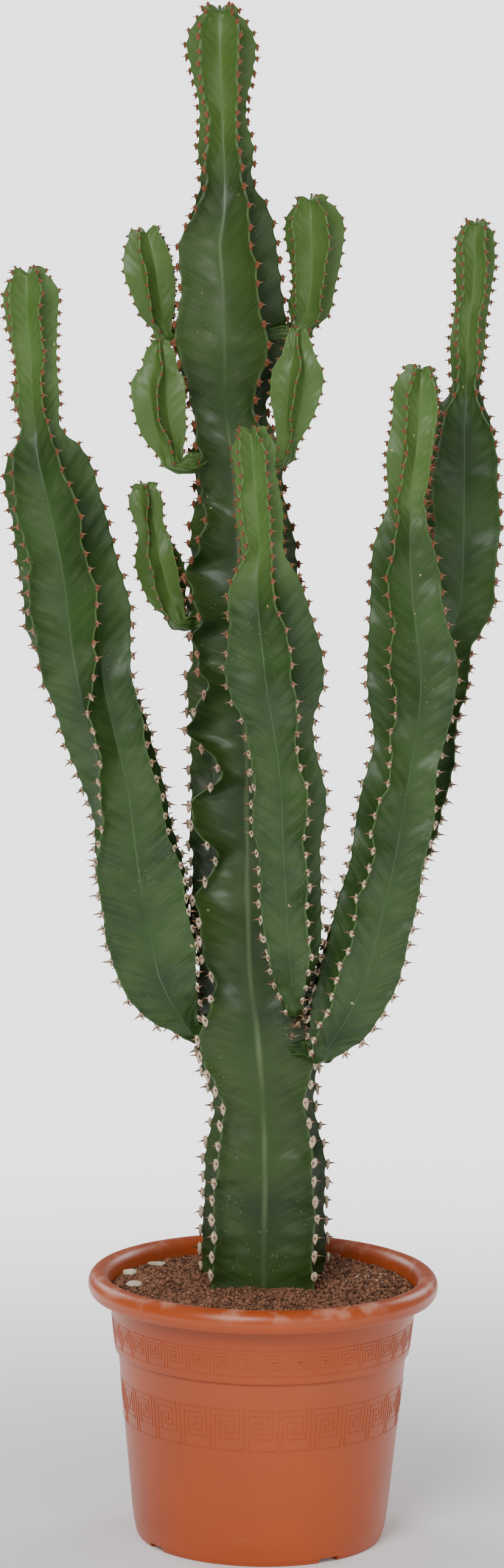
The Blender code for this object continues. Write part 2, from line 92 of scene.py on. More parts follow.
class Shader:
    """A small helper that grows one Principled node tree."""

    def __init__(self, name: str) -> None:
        """Start a material with an empty Principled shader.

        Args:
            name: the material's name.
        """
        self.material = bpy.data.materials.new(name)
        self.material.use_nodes = True
        self.tree = self.material.node_tree
        self.surface = self.tree.nodes["Principled BSDF"]

    def node(self, kind: str, **settings: object) -> bpy.types.Node:
        """Add a node.

        Args:
            kind: the node's type, without its leading ShaderNode.
            settings: properties to set on it.

        Returns:
            The node.
        """
        made = self.tree.nodes.new("ShaderNode" + kind)
        for key, value in settings.items():
            setattr(made, key, value)
        return made

    def join(self, source: Socket, target: Socket) -> None:
        """Link two sockets."""
        self.tree.links.new(source, target)

    def feed(self, value: object, socket: Socket) -> None:
        """Give a socket its input.

        Args:
            value: a number, a linear colour, or a socket to link.
            socket: the input.
        """
        if isinstance(value, (int, float)):
            socket.default_value = value
        elif isinstance(value, tuple):
            socket.default_value = (*value, 1)
        else:
            self.join(value, socket)

    def fixed(self, **values: float) -> None:
        """Set constants on the Principled shader; an underscore stands for a space."""
        for key, value in values.items():
            self.surface.inputs[key.replace("_", " ")].default_value = value

    def place(self) -> Socket:
        """The object's own coordinates."""
        return self.node("TexCoord").outputs["Object"]

    def height(self) -> Socket:
        """The height in the object's own coordinates."""
        parts = self.node("SeparateXYZ")
        self.join(self.place(), parts.inputs[0])
        return parts.outputs["Z"]

    def attribute(self, name: str) -> Socket:
        """A number stored on the mesh's points."""
        return self.node("Attribute", attribute_name=name).outputs["Fac"]

    def noise_at(self, place: Socket, scale: float, detail: float) -> Socket:
        """Noise read at given coordinates.

        Args:
            place: the coordinates.
            scale: the noise's scale.
            detail: its detail.

        Returns:
            A value of about 0 to 1.
        """
        made = self.node("TexNoise")
        made.inputs["Scale"].default_value = scale
        made.inputs["Detail"].default_value = detail
        self.join(place, made.inputs["Vector"])
        return made.outputs["Fac"]

    def noise(self, scale: float, detail: float, stretch: Triple = (1, 1, 1)) -> Socket:
        """Noise on object coordinates.

        Args:
            scale: the noise's scale.
            detail: its detail.
            stretch: how many times finer it is along each axis.

        Returns:
            A value of about 0 to 1.
        """
        mapping = self.node("Mapping")
        mapping.inputs["Scale"].default_value = stretch
        self.join(self.place(), mapping.inputs["Vector"])
        return self.noise_at(mapping.outputs["Vector"], scale, detail)

    def patches(self, kind: Patches) -> Socket:
        """Soft-edged patches, 1 inside and 0 outside."""
        return self.ramp(self.noise(kind.scale, kind.detail, kind.stretch), kind.low, kind.high)

    def spots(self, scale: float) -> Socket:
        """Distance from the nearest of many scattered points.

        Args:
            scale: how closely the points lie.

        Returns:
            The distance, in cells.
        """
        made = self.node("TexVoronoi")
        made.inputs["Scale"].default_value = scale
        self.join(self.place(), made.inputs["Vector"])
        return made.outputs["Distance"]

    def ramp(self, source: Socket, low: float, high: float) -> Socket:
        """A value mapped smoothly between two levels.

        Args:
            source: the value.
            low: the level that gives 0.
            high: the level that gives 1.

        Returns:
            The mapped value.
        """
        made = self.node("MapRange", interpolation_type="SMOOTHSTEP", clamp=True)
        made.inputs["From Min"].default_value = low
        made.inputs["From Max"].default_value = high
        self.join(source, made.inputs["Value"])
        return made.outputs["Result"]

    def math(self, operation: str, first: object, second: object) -> Socket:
        """One arithmetic step.

        Args:
            operation: the Math node's operation.
            first: a socket or a number.
            second: a socket or a number.

        Returns:
            The result.
        """
        made = self.node("Math", operation=operation)
        self.feed(first, made.inputs[0])
        self.feed(second, made.inputs[1])
        return made.outputs["Value"]

    def times(self, first: object, second: object) -> Socket:
        """The product of two sockets or numbers."""
        return self.math("MULTIPLY", first, second)

    def plus(self, first: object, second: object) -> Socket:
        """The sum of two sockets or numbers."""
        return self.math("ADD", first, second)

    def opposite(self, share: Socket) -> Socket:
        """What a share leaves of 1."""
        return self.math("SUBTRACT", 1.0, share)

    def mix(self, share: object, first: object, second: object) -> Socket:
        """Blend two colours.

        Args:
            share: how much of the second, as a socket or a number.
            first: a socket or a linear colour.
            second: a socket or a linear colour.

        Returns:
            The blended colour.
        """
        made = self.node("Mix", data_type="RGBA")
        for value, index in ((share, 0), (first, 6), (second, 7)):
            self.feed(value, made.inputs[index])
        return made.outputs[2]

    def bump(self, height: Socket, strength: float, distance: float) -> None:
        """Give the surface a fine relief.

        Args:
            height: the relief, of about 0 to 1.
            strength: how strongly it shows.
            distance: how high it stands.
        """
        made = self.node("Bump")
        made.inputs["Strength"].default_value = strength
        made.inputs["Distance"].default_value = distance
        self.join(height, made.inputs["Height"])
        self.join(made.outputs["Normal"], self.surface.inputs["Normal"])

    def finish(self, colour: Socket, roughness: Socket | None = None) -> bpy.types.Material:
        """Connect the colour and the roughness.

        Args:
            colour: the base colour.
            roughness: the roughness, where it varies.

        Returns:
            The material.
        """
        self.join(colour, self.surface.inputs["Base Color"])
        if roughness is not None:
            self.join(roughness, self.surface.inputs["Roughness"])
        return self.material


@dataclass(frozen=True)
class SkinFinish:
    """Waxy plant skin with a pale line in each hollow and feathered ripples on the wings.

    It reads three numbers of the mesh: across is 0 in a hollow and 1 on a crest,
    along is the way up the stem in metres, and age is 0 on grown skin and 1 on new.
    """

    name: str
    deep: Triple
    bright: Triple
    tender: Triple
    pale_line: Triple
    line_width: float
    margin: Triple
    dust: float
    feather_tint: Triple
    scabs: float = 0.8
    feather_share: float = 0.42
    feather_rise: float = 22 * MM
    feather_density: float = 330
    feather_edges: Pair = (0.36, 0.66)
    feather_reach: Pair = (0.10, 0.55)
    tender_share: float = 0.85
    line_share: float = 0.55
    margin_start: float = 0.965
    margin_share: float = 0.38
    mottle: Patches = Patches(16, 3, 0.32, 0.68)
    streaks: Patches = Patches(90, 4, 0.25, 0.70, (1, 1, 0.12))
    bloom: Patches = Patches(30, 6, 0.52, 0.78)
    bloom_colour: Triple = (0.20, 0.22, 0.16)
    speck_groups: Patches = Patches(22, 2, 0.56, 0.64)
    speck_scale: float = 230
    speck_edges: Pair = (0.10, 0.17)
    speck_colour: Triple = (0.50, 0.44, 0.30)
    scab_groups: Patches = Patches(13, 2, 0.55, 0.60)
    scab_scale: float = 64
    scab_edges: Pair = (0.165, 0.19)
    scab_colour: Triple = (0.44, 0.34, 0.16)
    base_roughness: float = 0.38
    pores: float = 420

    def material(self) -> bpy.types.Material:
        """Build the node tree."""
        shader = Shader(self.name)
        across = shader.attribute("across")
        age = shader.times(shader.attribute("age"), self.tender_share)
        body = shader.mix(shader.patches(self.mottle), self.deep, self.bright)
        body = shader.mix(age, body, self.tender)
        feather = self._feathers(shader, across)
        body = shader.mix(shader.times(feather, self.feather_share), body, self.feather_tint)
        body = self._line_and_margin(shader, across, body)
        body = self._marks(shader, body)
        rough = shader.plus(shader.times(shader.noise(45, 3), 0.16), self.base_roughness + 0.2 * self.dust)
        shader.bump(shader.plus(shader.noise(self.pores, 4), feather), 0.25, 0.4 * MM)
        shader.fixed(Specular_IOR_Level=0.34, Coat_Weight=0.05, Coat_Roughness=0.32)
        return shader.finish(body, rough)

    def _feathers(self, shader: Shader, across: Socket) -> Socket:
        """Slanting barbs on the wings' outer parts.

        Args:
            shader: the node tree.
            across: how far across its wing a point lies.

        Returns:
            1 on a barb and 0 between two.
        """
        along = shader.attribute("along")
        climb = shader.math("SUBTRACT", along, shader.times(across, self.feather_rise))
        lane = shader.node("CombineXYZ")
        shader.join(shader.times(climb, self.feather_density), lane.inputs["X"])
        shader.join(shader.times(across, 1.3), lane.inputs["Y"])
        shader.join(shader.noise(9, 1), lane.inputs["Z"])
        barbs = shader.ramp(shader.noise_at(lane.outputs[0], 1.0, 3), *self.feather_edges)
        return shader.times(barbs, shader.ramp(across, *self.feather_reach))

    def _line_and_margin(self, shader: Shader, across: Socket, body: Socket) -> Socket:
        """The pale line down each hollow and the lighter edge of each wing.

        Args:
            shader: the node tree.
            across: how far across its wing a point lies.
            body: the colour under them.

        Returns:
            The colour with both.
        """
        line = shader.opposite(shader.ramp(across, 0.0, self.line_width))
        line = shader.times(line, shader.patches(self.streaks))
        body = shader.mix(shader.times(line, self.line_share), body, self.pale_line)
        edge = shader.times(shader.ramp(across, self.margin_start, 1.0), self.margin_share)
        return shader.mix(edge, body, self.margin)

    def _marks(self, shader: Shader, body: Socket) -> Socket:
        """Dusty bloom, small pale specks and ragged scabs.

        Args:
            shader: the node tree.
            body: the colour under them.

        Returns:
            The colour with all three.
        """
        bloom = shader.times(shader.patches(self.bloom), self.dust)
        body = shader.mix(bloom, body, self.bloom_colour)
        speck = shader.opposite(shader.ramp(shader.spots(self.speck_scale), *self.speck_edges))
        speck = shader.times(speck, shader.patches(self.speck_groups))
        body = shader.mix(shader.times(speck, 0.8 * self.dust + 0.15), body, self.speck_colour)
        ragged = shader.plus(shader.spots(self.scab_scale), shader.times(shader.noise(420, 3), 0.22))
        scab = shader.opposite(shader.ramp(ragged, *self.scab_edges))
        scab = shader.times(scab, shader.patches(self.scab_groups))
        return shader.mix(shader.times(scab, self.scabs), body, self.scab_colour)


@dataclass(frozen=True)
class ShieldFinish:
    """The pads under the spines: fresh orange-brown above, bleached cork below."""

    name: str = "spine_shield"
    fresh: Triple = (0.21, 0.066, 0.024)
    cork: Triple = (0.60, 0.48, 0.34)
    cork_below: float = 0.50
    fresh_above: float = 0.80
    unevenness: float = 0.30
    stains: Patches = Patches(700, 3, 0.42, 0.66)
    stain_colour: Triple = (0.14, 0.060, 0.030)

    def material(self) -> bpy.types.Material:
        """Build the node tree."""
        shader = Shader(self.name)
        uneven = shader.times(shader.noise(70, 3), self.unevenness)
        level = shader.plus(shader.height(), shader.math("SUBTRACT", uneven, self.unevenness / 2))
        colour = shader.mix(shader.ramp(level, self.cork_below, self.fresh_above), self.cork, self.fresh)
        colour = shader.mix(shader.times(shader.patches(self.stains), 0.55), colour, self.stain_colour)
        shader.bump(shader.noise(900, 4), 0.5, 0.4 * MM)
        shader.fixed(Roughness=0.72, Specular_IOR_Level=0.3)
        return shader.finish(colour)


@dataclass(frozen=True)
class ThornFinish:
    """Horny spines that darken towards their points."""

    name: str = "spine_horn"
    root: Triple = (0.26, 0.13, 0.065)
    point: Triple = (0.045, 0.020, 0.014)

    def material(self) -> bpy.types.Material:
        """Build the node tree."""
        shader = Shader(self.name)
        grain = shader.times(shader.noise(800, 2), 0.3)
        share = shader.ramp(shader.plus(shader.attribute("tip"), grain), 0.2, 1.0)
        shader.fixed(Roughness=0.42)
        return shader.finish(shader.mix(share, self.root, self.point))


@dataclass(frozen=True)
class ScarFinish:
    """Brown, dried tissue."""

    name: str = "joint_scar"
    dark: Triple = (0.035, 0.020, 0.012)
    pale: Triple = (0.34, 0.24, 0.15)
    shades: Patches = Patches(260, 4, 0.35, 0.68)

    def material(self) -> bpy.types.Material:
        """Build the node tree."""
        shader = Shader(self.name)
        shader.bump(shader.noise(900, 4), 0.6, 0.5 * MM)
        shader.fixed(Roughness=0.85, Specular_IOR_Level=0.2)
        return shader.finish(shader.mix(shader.patches(self.shades), self.dark, self.pale))


@dataclass(frozen=True)
class PlasticFinish:
    """Terracotta-coloured moulded plastic with a dusty, scuffed lip."""

    name: str = "pot_plastic"
    base: Triple = (0.40, 0.064, 0.006)
    shade: Triple = (0.33, 0.050, 0.005)
    dust: Triple = (0.66, 0.36, 0.24)
    dirt: Triple = (0.16, 0.060, 0.030)
    lip_start: float = 196 * MM
    lip_full: float = 206 * MM
    clouds: Patches = Patches(7, 4, 0.3, 0.7)
    scuffs: Patches = Patches(26, 5, 0.66, 0.82, (1, 1, 7))
    wear: Patches = Patches(55, 8, 0.48, 0.70)
    soiling: Patches = Patches(120, 5, 0.62, 0.80)

    def material(self) -> bpy.types.Material:
        """Build the node tree."""
        shader = Shader(self.name)
        colour = shader.mix(shader.patches(self.clouds), self.shade, self.base)
        colour = shader.mix(shader.times(shader.patches(self.scuffs), 0.10), colour, self.dust)
        lip = shader.ramp(shader.height(), self.lip_start, self.lip_full)
        bloom = shader.times(shader.times(lip, shader.patches(self.wear)), 0.42)
        colour = shader.mix(bloom, colour, self.dust)
        soiled = shader.times(shader.patches(self.soiling), 0.35)
        colour = shader.mix(shader.times(soiled, lip), colour, self.dirt)
        rough = shader.plus(shader.times(bloom, 0.35), 0.30)
        rough = shader.plus(rough, shader.times(shader.noise(60, 4), 0.12))
        shader.bump(shader.noise(650, 3), 0.10, 0.3 * MM)
        shader.fixed(Specular_IOR_Level=0.5)
        return shader.finish(colour, rough)


@dataclass(frozen=True)
class SoilFinish:
    """Dry, gritty potting mix; each grain has a tone of its own, and the highest tones are pale."""

    name: str = "soil_mix"
    dark: Triple = (0.060, 0.027, 0.016)
    red: Triple = (0.29, 0.135, 0.080)
    pale: Triple = (0.62, 0.56, 0.46)
    pale_tones: Pair = (0.90, 0.99)

    def material(self) -> bpy.types.Material:
        """Build the node tree."""
        shader = Shader(self.name)
        tone = shader.attribute("tone")
        mixed = shader.plus(shader.times(tone, 0.75), shader.times(shader.noise(260, 5), 0.9))
        colour = shader.mix(shader.ramp(mixed, 0.35, 1.05), self.dark, self.red)
        colour = shader.mix(shader.ramp(tone, *self.pale_tones), colour, self.pale)
        shader.bump(shader.noise(900, 5), 0.7, 0.8 * MM)
        shader.fixed(Roughness=0.95, Specular_IOR_Level=0.15)
        return shader.finish(colour)


@dataclass(frozen=True)
class StoneFinish:
    """Pale shelly limestone with brown stains."""

    name: str = "pale_stone"
    light: Triple = (0.66, 0.60, 0.47)
    drab: Triple = (0.42, 0.34, 0.22)
    brown: Triple = (0.26, 0.16, 0.09)
    shades: Patches = Patches(150, 5, 0.35, 0.7)
    stains: Patches = Patches(420, 4, 0.55, 0.75)

    def material(self) -> bpy.types.Material:
        """Build the node tree."""
        shader = Shader(self.name)
        colour = shader.mix(shader.patches(self.shades), self.light, self.drab)
        colour = shader.mix(shader.times(shader.patches(self.stains), 0.5), colour, self.brown)
        shader.bump(shader.noise(700, 5), 0.5, 0.5 * MM)
        shader.fixed(Roughness=0.75, Specular_IOR_Level=0.3)
        return shader.finish(colour)


# ------------------------------------------------------------- mesh building


def new_object(name: str, mesh: bpy.types.Mesh, material: bpy.types.Material) -> bpy.types.Object:
    """Link a smooth-shaded object that sits at the origin.

    Args:
        name: the object's name.
        mesh: its mesh, in place.
        material: its finish, which is added unless the mesh has it.

    Returns:
        The object.
    """
    if material.name not in [m.name for m in mesh.materials if m]:
        mesh.materials.append(material)
    mesh.shade_smooth()
    made = bpy.data.objects.new(name, mesh)
    bpy.context.scene.collection.objects.link(made)
    return made


def mesh_from(name: str, bm: bmesh.types.BMesh) -> bpy.types.Mesh:
    """Turn a bmesh into a mesh, and free it.

    Args:
        name: the mesh's name.
        bm: the bmesh.

    Returns:
        The mesh.
    """
    mesh = bpy.data.meshes.new(name)
    bm.to_mesh(mesh)
    bm.free()
    return mesh


def settle(piece: bpy.types.Object, slot: str, *nodes: str) -> None:
    """Ride a piece on the plant's body and say what it stands for.

    Args:
        piece: the finished object.
        slot: the record's material slot.
        nodes: the frame nodes that it replaces.
    """
    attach(piece, BODY)
    if nodes:
        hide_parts(*nodes)
    log.info("%s: %d faces, slot %s, stands for %s", piece.name, len(piece.data.polygons), slot, nodes or "-")


def loft(name: str, rows: np.ndarray, numbers: dict[str, np.ndarray] | None = None) -> bpy.types.Mesh:
    """A closed skin through rings of points.

    Args:
        name: the mesh's name.
        rows: rings of points, as (ring, point, xyz). The first and last ring may be one point.
        numbers: values for each point, as (ring, point), stored as attributes.

    Returns:
        The mesh, with its seam and its ends closed and its faces pointing out.
    """
    numbers = numbers or {}
    ring_count, around = rows.shape[:2]
    bm = bmesh.new()
    bmesh.ops.create_grid(bm, x_segments=ring_count - 1, y_segments=around, size=0.5)
    mesh = mesh_from(name, bm)
    flat = np.empty(len(mesh.vertices) * 3, np.float32)
    mesh.vertices.foreach_get("co", flat)
    flat = flat.reshape(-1, 3)
    ring = np.rint((flat[:, 0] + 0.5) * (ring_count - 1)).astype(int)
    step = np.rint((flat[:, 1] + 0.5) * around).astype(int) % around
    mesh.vertices.foreach_set("co", rows[ring, step].astype(np.float32).ravel())
    for key, values in numbers.items():
        layer = mesh.attributes.new(key, "FLOAT", "POINT")
        layer.data.foreach_set("value", values[ring, step].astype(np.float32))
    bm = bmesh.new()
    bm.from_mesh(mesh)
    bmesh.ops.remove_doubles(bm, verts=bm.verts, dist=WELD)
    bmesh.ops.dissolve_degenerate(bm, edges=bm.edges, dist=WELD / 10)
    bmesh.ops.recalc_face_normals(bm, faces=bm.faces)
    bm.to_mesh(mesh)
    bm.free()
    return mesh


def smooth_between(keys: np.ndarray, position: np.ndarray) -> np.ndarray:
    """Catmull-Rom values of keys between their rows.

    Args:
        keys: the rows to pass through.
        position: fractional row numbers.

    Returns:
        One row for each position.
    """
    last = len(keys) - 1
    start = np.clip(np.floor(position).astype(int), 0, last - 1)
    share = (position - start).reshape((-1,) + (1,) * (keys.ndim - 1))
    a, b = keys[np.maximum(start - 1, 0)], keys[start]
    c, d = keys[start + 1], keys[np.minimum(start + 2, last)]
    curve = b + 0.5 * share * (c - a)
    curve = curve + share**2 * (a - 2.5 * b + 2 * c - 0.5 * d)
    return curve + share**3 * (1.5 * b - 0.5 * a - 1.5 * c + 0.5 * d)


def unit(vectors: np.ndarray) -> np.ndarray:
    """Vectors scaled to length one along their last axis."""
    length = np.linalg.norm(vectors, axis=-1, keepdims=True)
    return vectors / np.maximum(length, 1e-12)


class Stamp:
    """Collects many placed copies of small template meshes into one mesh."""

    def __init__(self, name: str) -> None:
        """Start an empty collection.

        Args:
            name: the joined mesh's name.
        """
        self.name = name
        self.bm = bmesh.new()

    def put(self, template: bpy.types.Mesh, matrix: Matrix) -> None:
        """Add one copy of a template.

        Args:
            template: the mesh to copy, which is left as it was.
            matrix: the copy's placement.
        """
        template.transform(matrix)
        self.bm.from_mesh(template)
        template.transform(matrix.inverted())

    def mesh(self) -> bpy.types.Mesh:
        """Hand over the joined mesh."""
        return mesh_from(self.name, self.bm)


def frame_matrix(side: Vector, along: Vector, out: Vector, place: Vector) -> Matrix:
    """A placement whose X, Y and Z run along side, along and out."""
    return Matrix.Translation(place) @ Matrix((side, along, out)).transposed().to_4x4()


# --------------------------------------------------------------------- stems


@dataclass
class Skeleton:
    """The ribs and hollows of one frame stem, ring by ring, from its foot to its tip."""

    foot: np.ndarray
    crests: np.ndarray
    hollows: np.ndarray

    @property
    def centres(self) -> np.ndarray:
        """The middle of each ring."""
        return (self.crests.mean(axis=1) + self.hollows.mean(axis=1)) / 2

    @classmethod
    def read(cls, node: str) -> "Skeleton":
        """Read a stem's rings from its frame node.

        Args:
            node: the frame node's name.

        Returns:
            The skeleton, with its foot at the lower end.
        """
        bm = bmesh.new()
        bm.from_mesh(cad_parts[node].data)
        bmesh.ops.remove_doubles(bm, verts=bm.verts, dist=WELD)
        hub_links = 2 * RIBS
        foot = min((v for v in bm.verts if len(v.link_edges) == hub_links), key=lambda v: v.co.z)
        seen, rings, front = {foot}, [], [foot]
        while front:
            following = []
            for vert in front:
                for edge in vert.link_edges:
                    other = edge.other_vert(vert)
                    if other not in seen:
                        seen.add(other)
                        following.append(other)
            front = following
            if front:
                rings.append(front)
        rings.pop()
        stack = cls._facing(cls._aligned([cls._in_order(ring) for ring in rings]))
        widest = stack[np.argmax(np.ptp(stack, axis=1).sum(axis=1))]
        reach = np.linalg.norm(widest - widest.mean(axis=0), axis=1)
        first = 0 if reach[0::2].mean() > reach[1::2].mean() else 1
        base = np.array(foot.co)
        bm.free()
        stack = np.roll(stack, -first, axis=1)
        return cls(base, stack[:, 0::2], stack[:, 1::2])

    @staticmethod
    def _aligned(loops: list[np.ndarray]) -> np.ndarray:
        """Turn each ring so that its points follow those of the ring below it.

        Args:
            loops: the rings from the foot up, each in order round it.

        Returns:
            Rings of points, as (ring, point, xyz).
        """
        aligned = [loops[0]]
        for loop, near in zip(loops[1:], loops):
            middle = loop.mean(axis=0)
            axis = middle - near.mean(axis=0)
            if np.dot(np.cross(loop[0] - middle, loop[1] - middle), axis) < 0:
                loop = loop[::-1]
            turns = [np.roll(loop, turn, axis=0) for turn in range(len(loop))]
            aligned.append(min(turns, key=lambda t: np.linalg.norm(t - aligned[-1], axis=1).sum()))
        return np.array(aligned)

    @staticmethod
    def _in_order(ring: list) -> np.ndarray:
        """Put a ring's vertices in order.

        Args:
            ring: the vertices.

        Returns:
            Their places, in order round the ring.
        """
        members, order = set(ring), [ring[0]]
        while len(order) < len(ring):
            links = [e.other_vert(order[-1]) for e in order[-1].link_edges]
            order.append(next(v for v in links if v in members and v not in order))
        return np.array([v.co[:] for v in order])

    @staticmethod
    def _facing(stack: np.ndarray) -> np.ndarray:
        """Turn the first ring the same way as the second, by matching it to that ring.

        Args:
            stack: rings of points, as (ring, point, xyz).

        Returns:
            The rings, with the first one turned.
        """
        first, second = stack[0], stack[1]
        choices = [np.roll(way, turn, axis=0) for way in (first, first[::-1]) for turn in range(len(first))]
        stack = stack.copy()
        stack[0] = min(choices, key=lambda c: np.linalg.norm(c - second, axis=1).sum())
        return stack


@dataclass(frozen=True)
class Habit:
    """How stems of one growth are shaped and armed.

    The bend holds the two handles of a flank's curve, at the hollow and at the
    crest, as shares of its span. The shield holds its half-width, half-length
    and half-height.
    """

    slot: str
    pitch: float
    tooth: float
    bend: Pair
    margin: float
    wave: float
    neck: float
    shield: Triple
    spine: float
    spine_width: float
    crowding: float = 0.55
    start_age: float = 0.0


HABITS = {
    Growth.OLD: Habit(
        slot="trunk_skin",
        pitch=14.5 * MM,
        tooth=2.2 * MM,
        bend=(0.58, 0.40),
        margin=1.15 * MM,
        wave=6.0 * MM,
        neck=11 * MM,
        shield=(2.8 * MM, 4.7 * MM, 1.8 * MM),
        spine=6.2 * MM,
        spine_width=8.6 * MM,
    ),
    Growth.ARM: Habit(
        slot="arm_skin",
        pitch=13.0 * MM,
        tooth=1.7 * MM,
        bend=(0.30, 0.30),
        margin=0.95 * MM,
        wave=0.9 * MM,
        neck=11 * MM,
        shield=(2.0 * MM, 3.6 * MM, 1.3 * MM),
        spine=6.6 * MM,
        spine_width=8.6 * MM,
    ),
    Growth.YOUNG: Habit(
        slot="young_skin",
        pitch=8.5 * MM,
        tooth=1.2 * MM,
        bend=(0.34, 0.32),
        margin=0.8 * MM,
        wave=0.9 * MM,
        neck=9 * MM,
        shield=(1.1 * MM, 1.9 * MM, 0.8 * MM),
        spine=4.0 * MM,
        spine_width=5.4 * MM,
        crowding=0.0,
        start_age=0.1,
    ),
}


@dataclass(frozen=True)
class Elbow:
    """A ring added to a side stem's neck: how far it is turned to face the parent, and its size."""

    turn: float
    size: float


BURIED_ELBOW = Elbow(1.0, 0.55)
FOOT_ELBOW = Elbow(1.0, 0.9)
RISING_ELBOW = Elbow(0.6, 1.08)


@dataclass
class Stem:
    """One ribbed stem: its skin, its spine shields and its spines."""

    node: str
    growth: Growth
    skin: bpy.types.Material
    shield: bpy.types.Material
    thorn: bpy.types.Material
    seed: int
    host: np.ndarray
    foot_shares: Pair = (1.0, 0.9)
    foot_hollow: float = 0.86
    neck_hollow: float = 0.9
    rising_share: float = 0.55
    sunken: float = 52 * MM
    bury: float = 0.72
    row_step: float = 1.7 * MM
    flank_steps: int = 11
    flank_end: float = 0.95
    cap_angles: tuple = (45, 90, 135)
    cap_across: tuple = (0.98, 1.0, 0.98)
    tip_rows: int = 12
    tip_rise: float = 0.34
    tip_flattening: float = 0.75
    tip_lobe: float = 0.22
    tip_sink: float = 0.7
    tip_pinch: Pair = (0.8, 1.3)
    wave_height: float = 0.66
    wave_spread: float = 0.17
    wave_side: tuple = (-0.7, -0.7, 0)
    wave_least: float = 0.35
    sway: float = 1.5 * MM
    sway_rates: Pair = (104, 251)
    sway_second: float = 0.35
    tooth_point: float = 0.75
    tooth_middle: float = 0.45
    ripple: float = 0.75 * MM
    ripple_slant: float = 1.8
    ripple_shape: Pair = (1.3, 0.5)
    fresh_length: float = 150 * MM
    fresh_blend: float = 60 * MM

    def __post_init__(self) -> None:
        """Read the frame node and lay out the fine rings."""
        self.random = random.Random(self.seed)
        self.habit = HABITS[self.growth]
        self.skeleton = Skeleton.read(self.node)
        neck_rings = 0 if self.growth is Growth.OLD else self._graft()
        self._lay_out(neck_rings)
        self.shifts = [self.random.uniform(0, 1) for _ in range(RIBS)]
        self.sways = [self.random.uniform(0, math.tau) for _ in range(RIBS)]
        self.thick = self.habit.margin * (0.35 + 0.65 * self._fade())
        self.edges = [self._edge(rib) for rib in range(RIBS)]

    def _graft(self) -> int:
        """Thicken the stem's foot and run it on into the stem that it grows from.

        Returns:
            How many rings were added.
        """
        bones, neck = self.skeleton, self.habit.neck
        centres = bones.centres
        for ring, share in enumerate(self.foot_shares):
            for points, floor in ((bones.crests, neck), (bones.hollows, self.foot_hollow * neck)):
                spokes = points[ring] - centres[ring]
                length = np.linalg.norm(spokes, axis=1, keepdims=True)
                points[ring] = centres[ring] + unit(spokes) * np.maximum(length, floor * share)
        inward = unit(bones.foot - centres[0])
        rise = Vector(unit(centres[1] - centres[0]))
        full = rise.rotation_difference(Vector(-inward))
        nearest = np.argmin(np.linalg.norm(self.host - bones.foot, axis=1))
        inside = bones.foot + (self.host[nearest] - bones.foot) * self.bury
        halfway = (1 - self.rising_share) * bones.foot + self.rising_share * centres[0]
        spokes = unit(bones.crests[0] - centres[0])
        between = unit(bones.hollows[0] - centres[0])
        crests, hollows = [], []
        for place, elbow in ((inside, BURIED_ELBOW), (bones.foot, FOOT_ELBOW), (halfway, RISING_ELBOW)):
            turn = np.array(Quaternion().slerp(full, elbow.turn).to_matrix())
            crests.append(place + spokes @ turn.T * neck * elbow.size)
            hollows.append(place + between @ turn.T * self.neck_hollow * neck * elbow.size)
        bones.crests = np.concatenate([crests, bones.crests])
        bones.hollows = np.concatenate([hollows, bones.hollows])
        bones.foot = inside + inward * 2 * MM
        return len(crests)

    def _lay_out(self, neck_rings: int) -> None:
        """Work out the fine rings: their centres, their axes, and each rib's crest and hollow.

        Args:
            neck_rings: how many of the first rings are a neck, which bears no spines.
        """
        bones = self.skeleton
        gaps = np.linalg.norm(np.diff(bones.centres, axis=0), axis=1)
        run = np.concatenate([[0], np.cumsum(gaps)])
        count = max(4, int(run[-1] / self.row_step))
        self.along = np.linspace(0, run[-1], count)
        self.bare = run[neck_rings] if neck_rings else self.sunken
        position = np.interp(self.along, run, np.arange(len(run)))
        self.crests = smooth_between(bones.crests, position)
        self.hollows = smooth_between(bones.hollows, position)
        self.centres = (self.crests.mean(axis=1) + self.hollows.mean(axis=1)) / 2
        self.axes = unit(np.gradient(self.centres, axis=0))
        self.tip_start = count
        self._close_tip()

    def _close_tip(self) -> None:
        """Fold the ribs in over the growing point, higher than the hollows between them."""
        axis, centre = self.axes[-1], self.centres[-1]
        crests, hollows = self.crests[-1] - centre, self.hollows[-1] - centre
        reach = np.linalg.norm(crests, axis=1).mean()
        crest_pinch, hollow_pinch = self.tip_pinch
        extra = {"crests": [], "hollows": [], "centres": [], "along": []}
        for step in range(1, self.tip_rows + 1):
            share = step / self.tip_rows
            turn = share * math.pi / 2
            pinch = max(math.cos(turn), 0.0) ** crest_pinch
            rise = reach * self.tip_rise * math.sin(turn) * (1 - self.tip_flattening * share**3)
            lobe = reach * self.tip_lobe * math.sin(2 * turn)
            sunk = rise - self.tip_sink * lobe
            extra["centres"].append(centre + axis * rise)
            extra["crests"].append(centre + crests * pinch + axis * (rise + lobe))
            extra["hollows"].append(centre + hollows * pinch**hollow_pinch + axis * sunk)
            extra["along"].append(self.along[-1] + reach * math.sin(turn))
        self.crests = np.concatenate([self.crests, extra["crests"]])
        self.hollows = np.concatenate([self.hollows, extra["hollows"]])
        self.centres = np.concatenate([self.centres, extra["centres"]])
        self.along = np.concatenate([self.along, extra["along"]])
        self.axes = np.concatenate([self.axes, np.repeat(axis[None], self.tip_rows, axis=0)])

    def _freshness(self) -> np.ndarray:
        """0 on grown skin, rising to 1 over the stem's newest stretch."""
        share = (self.along - (self.along[-1] - self.fresh_length)) / self.fresh_blend
        share = np.clip(share, 0, 1)
        return share * share * (3 - 2 * share)

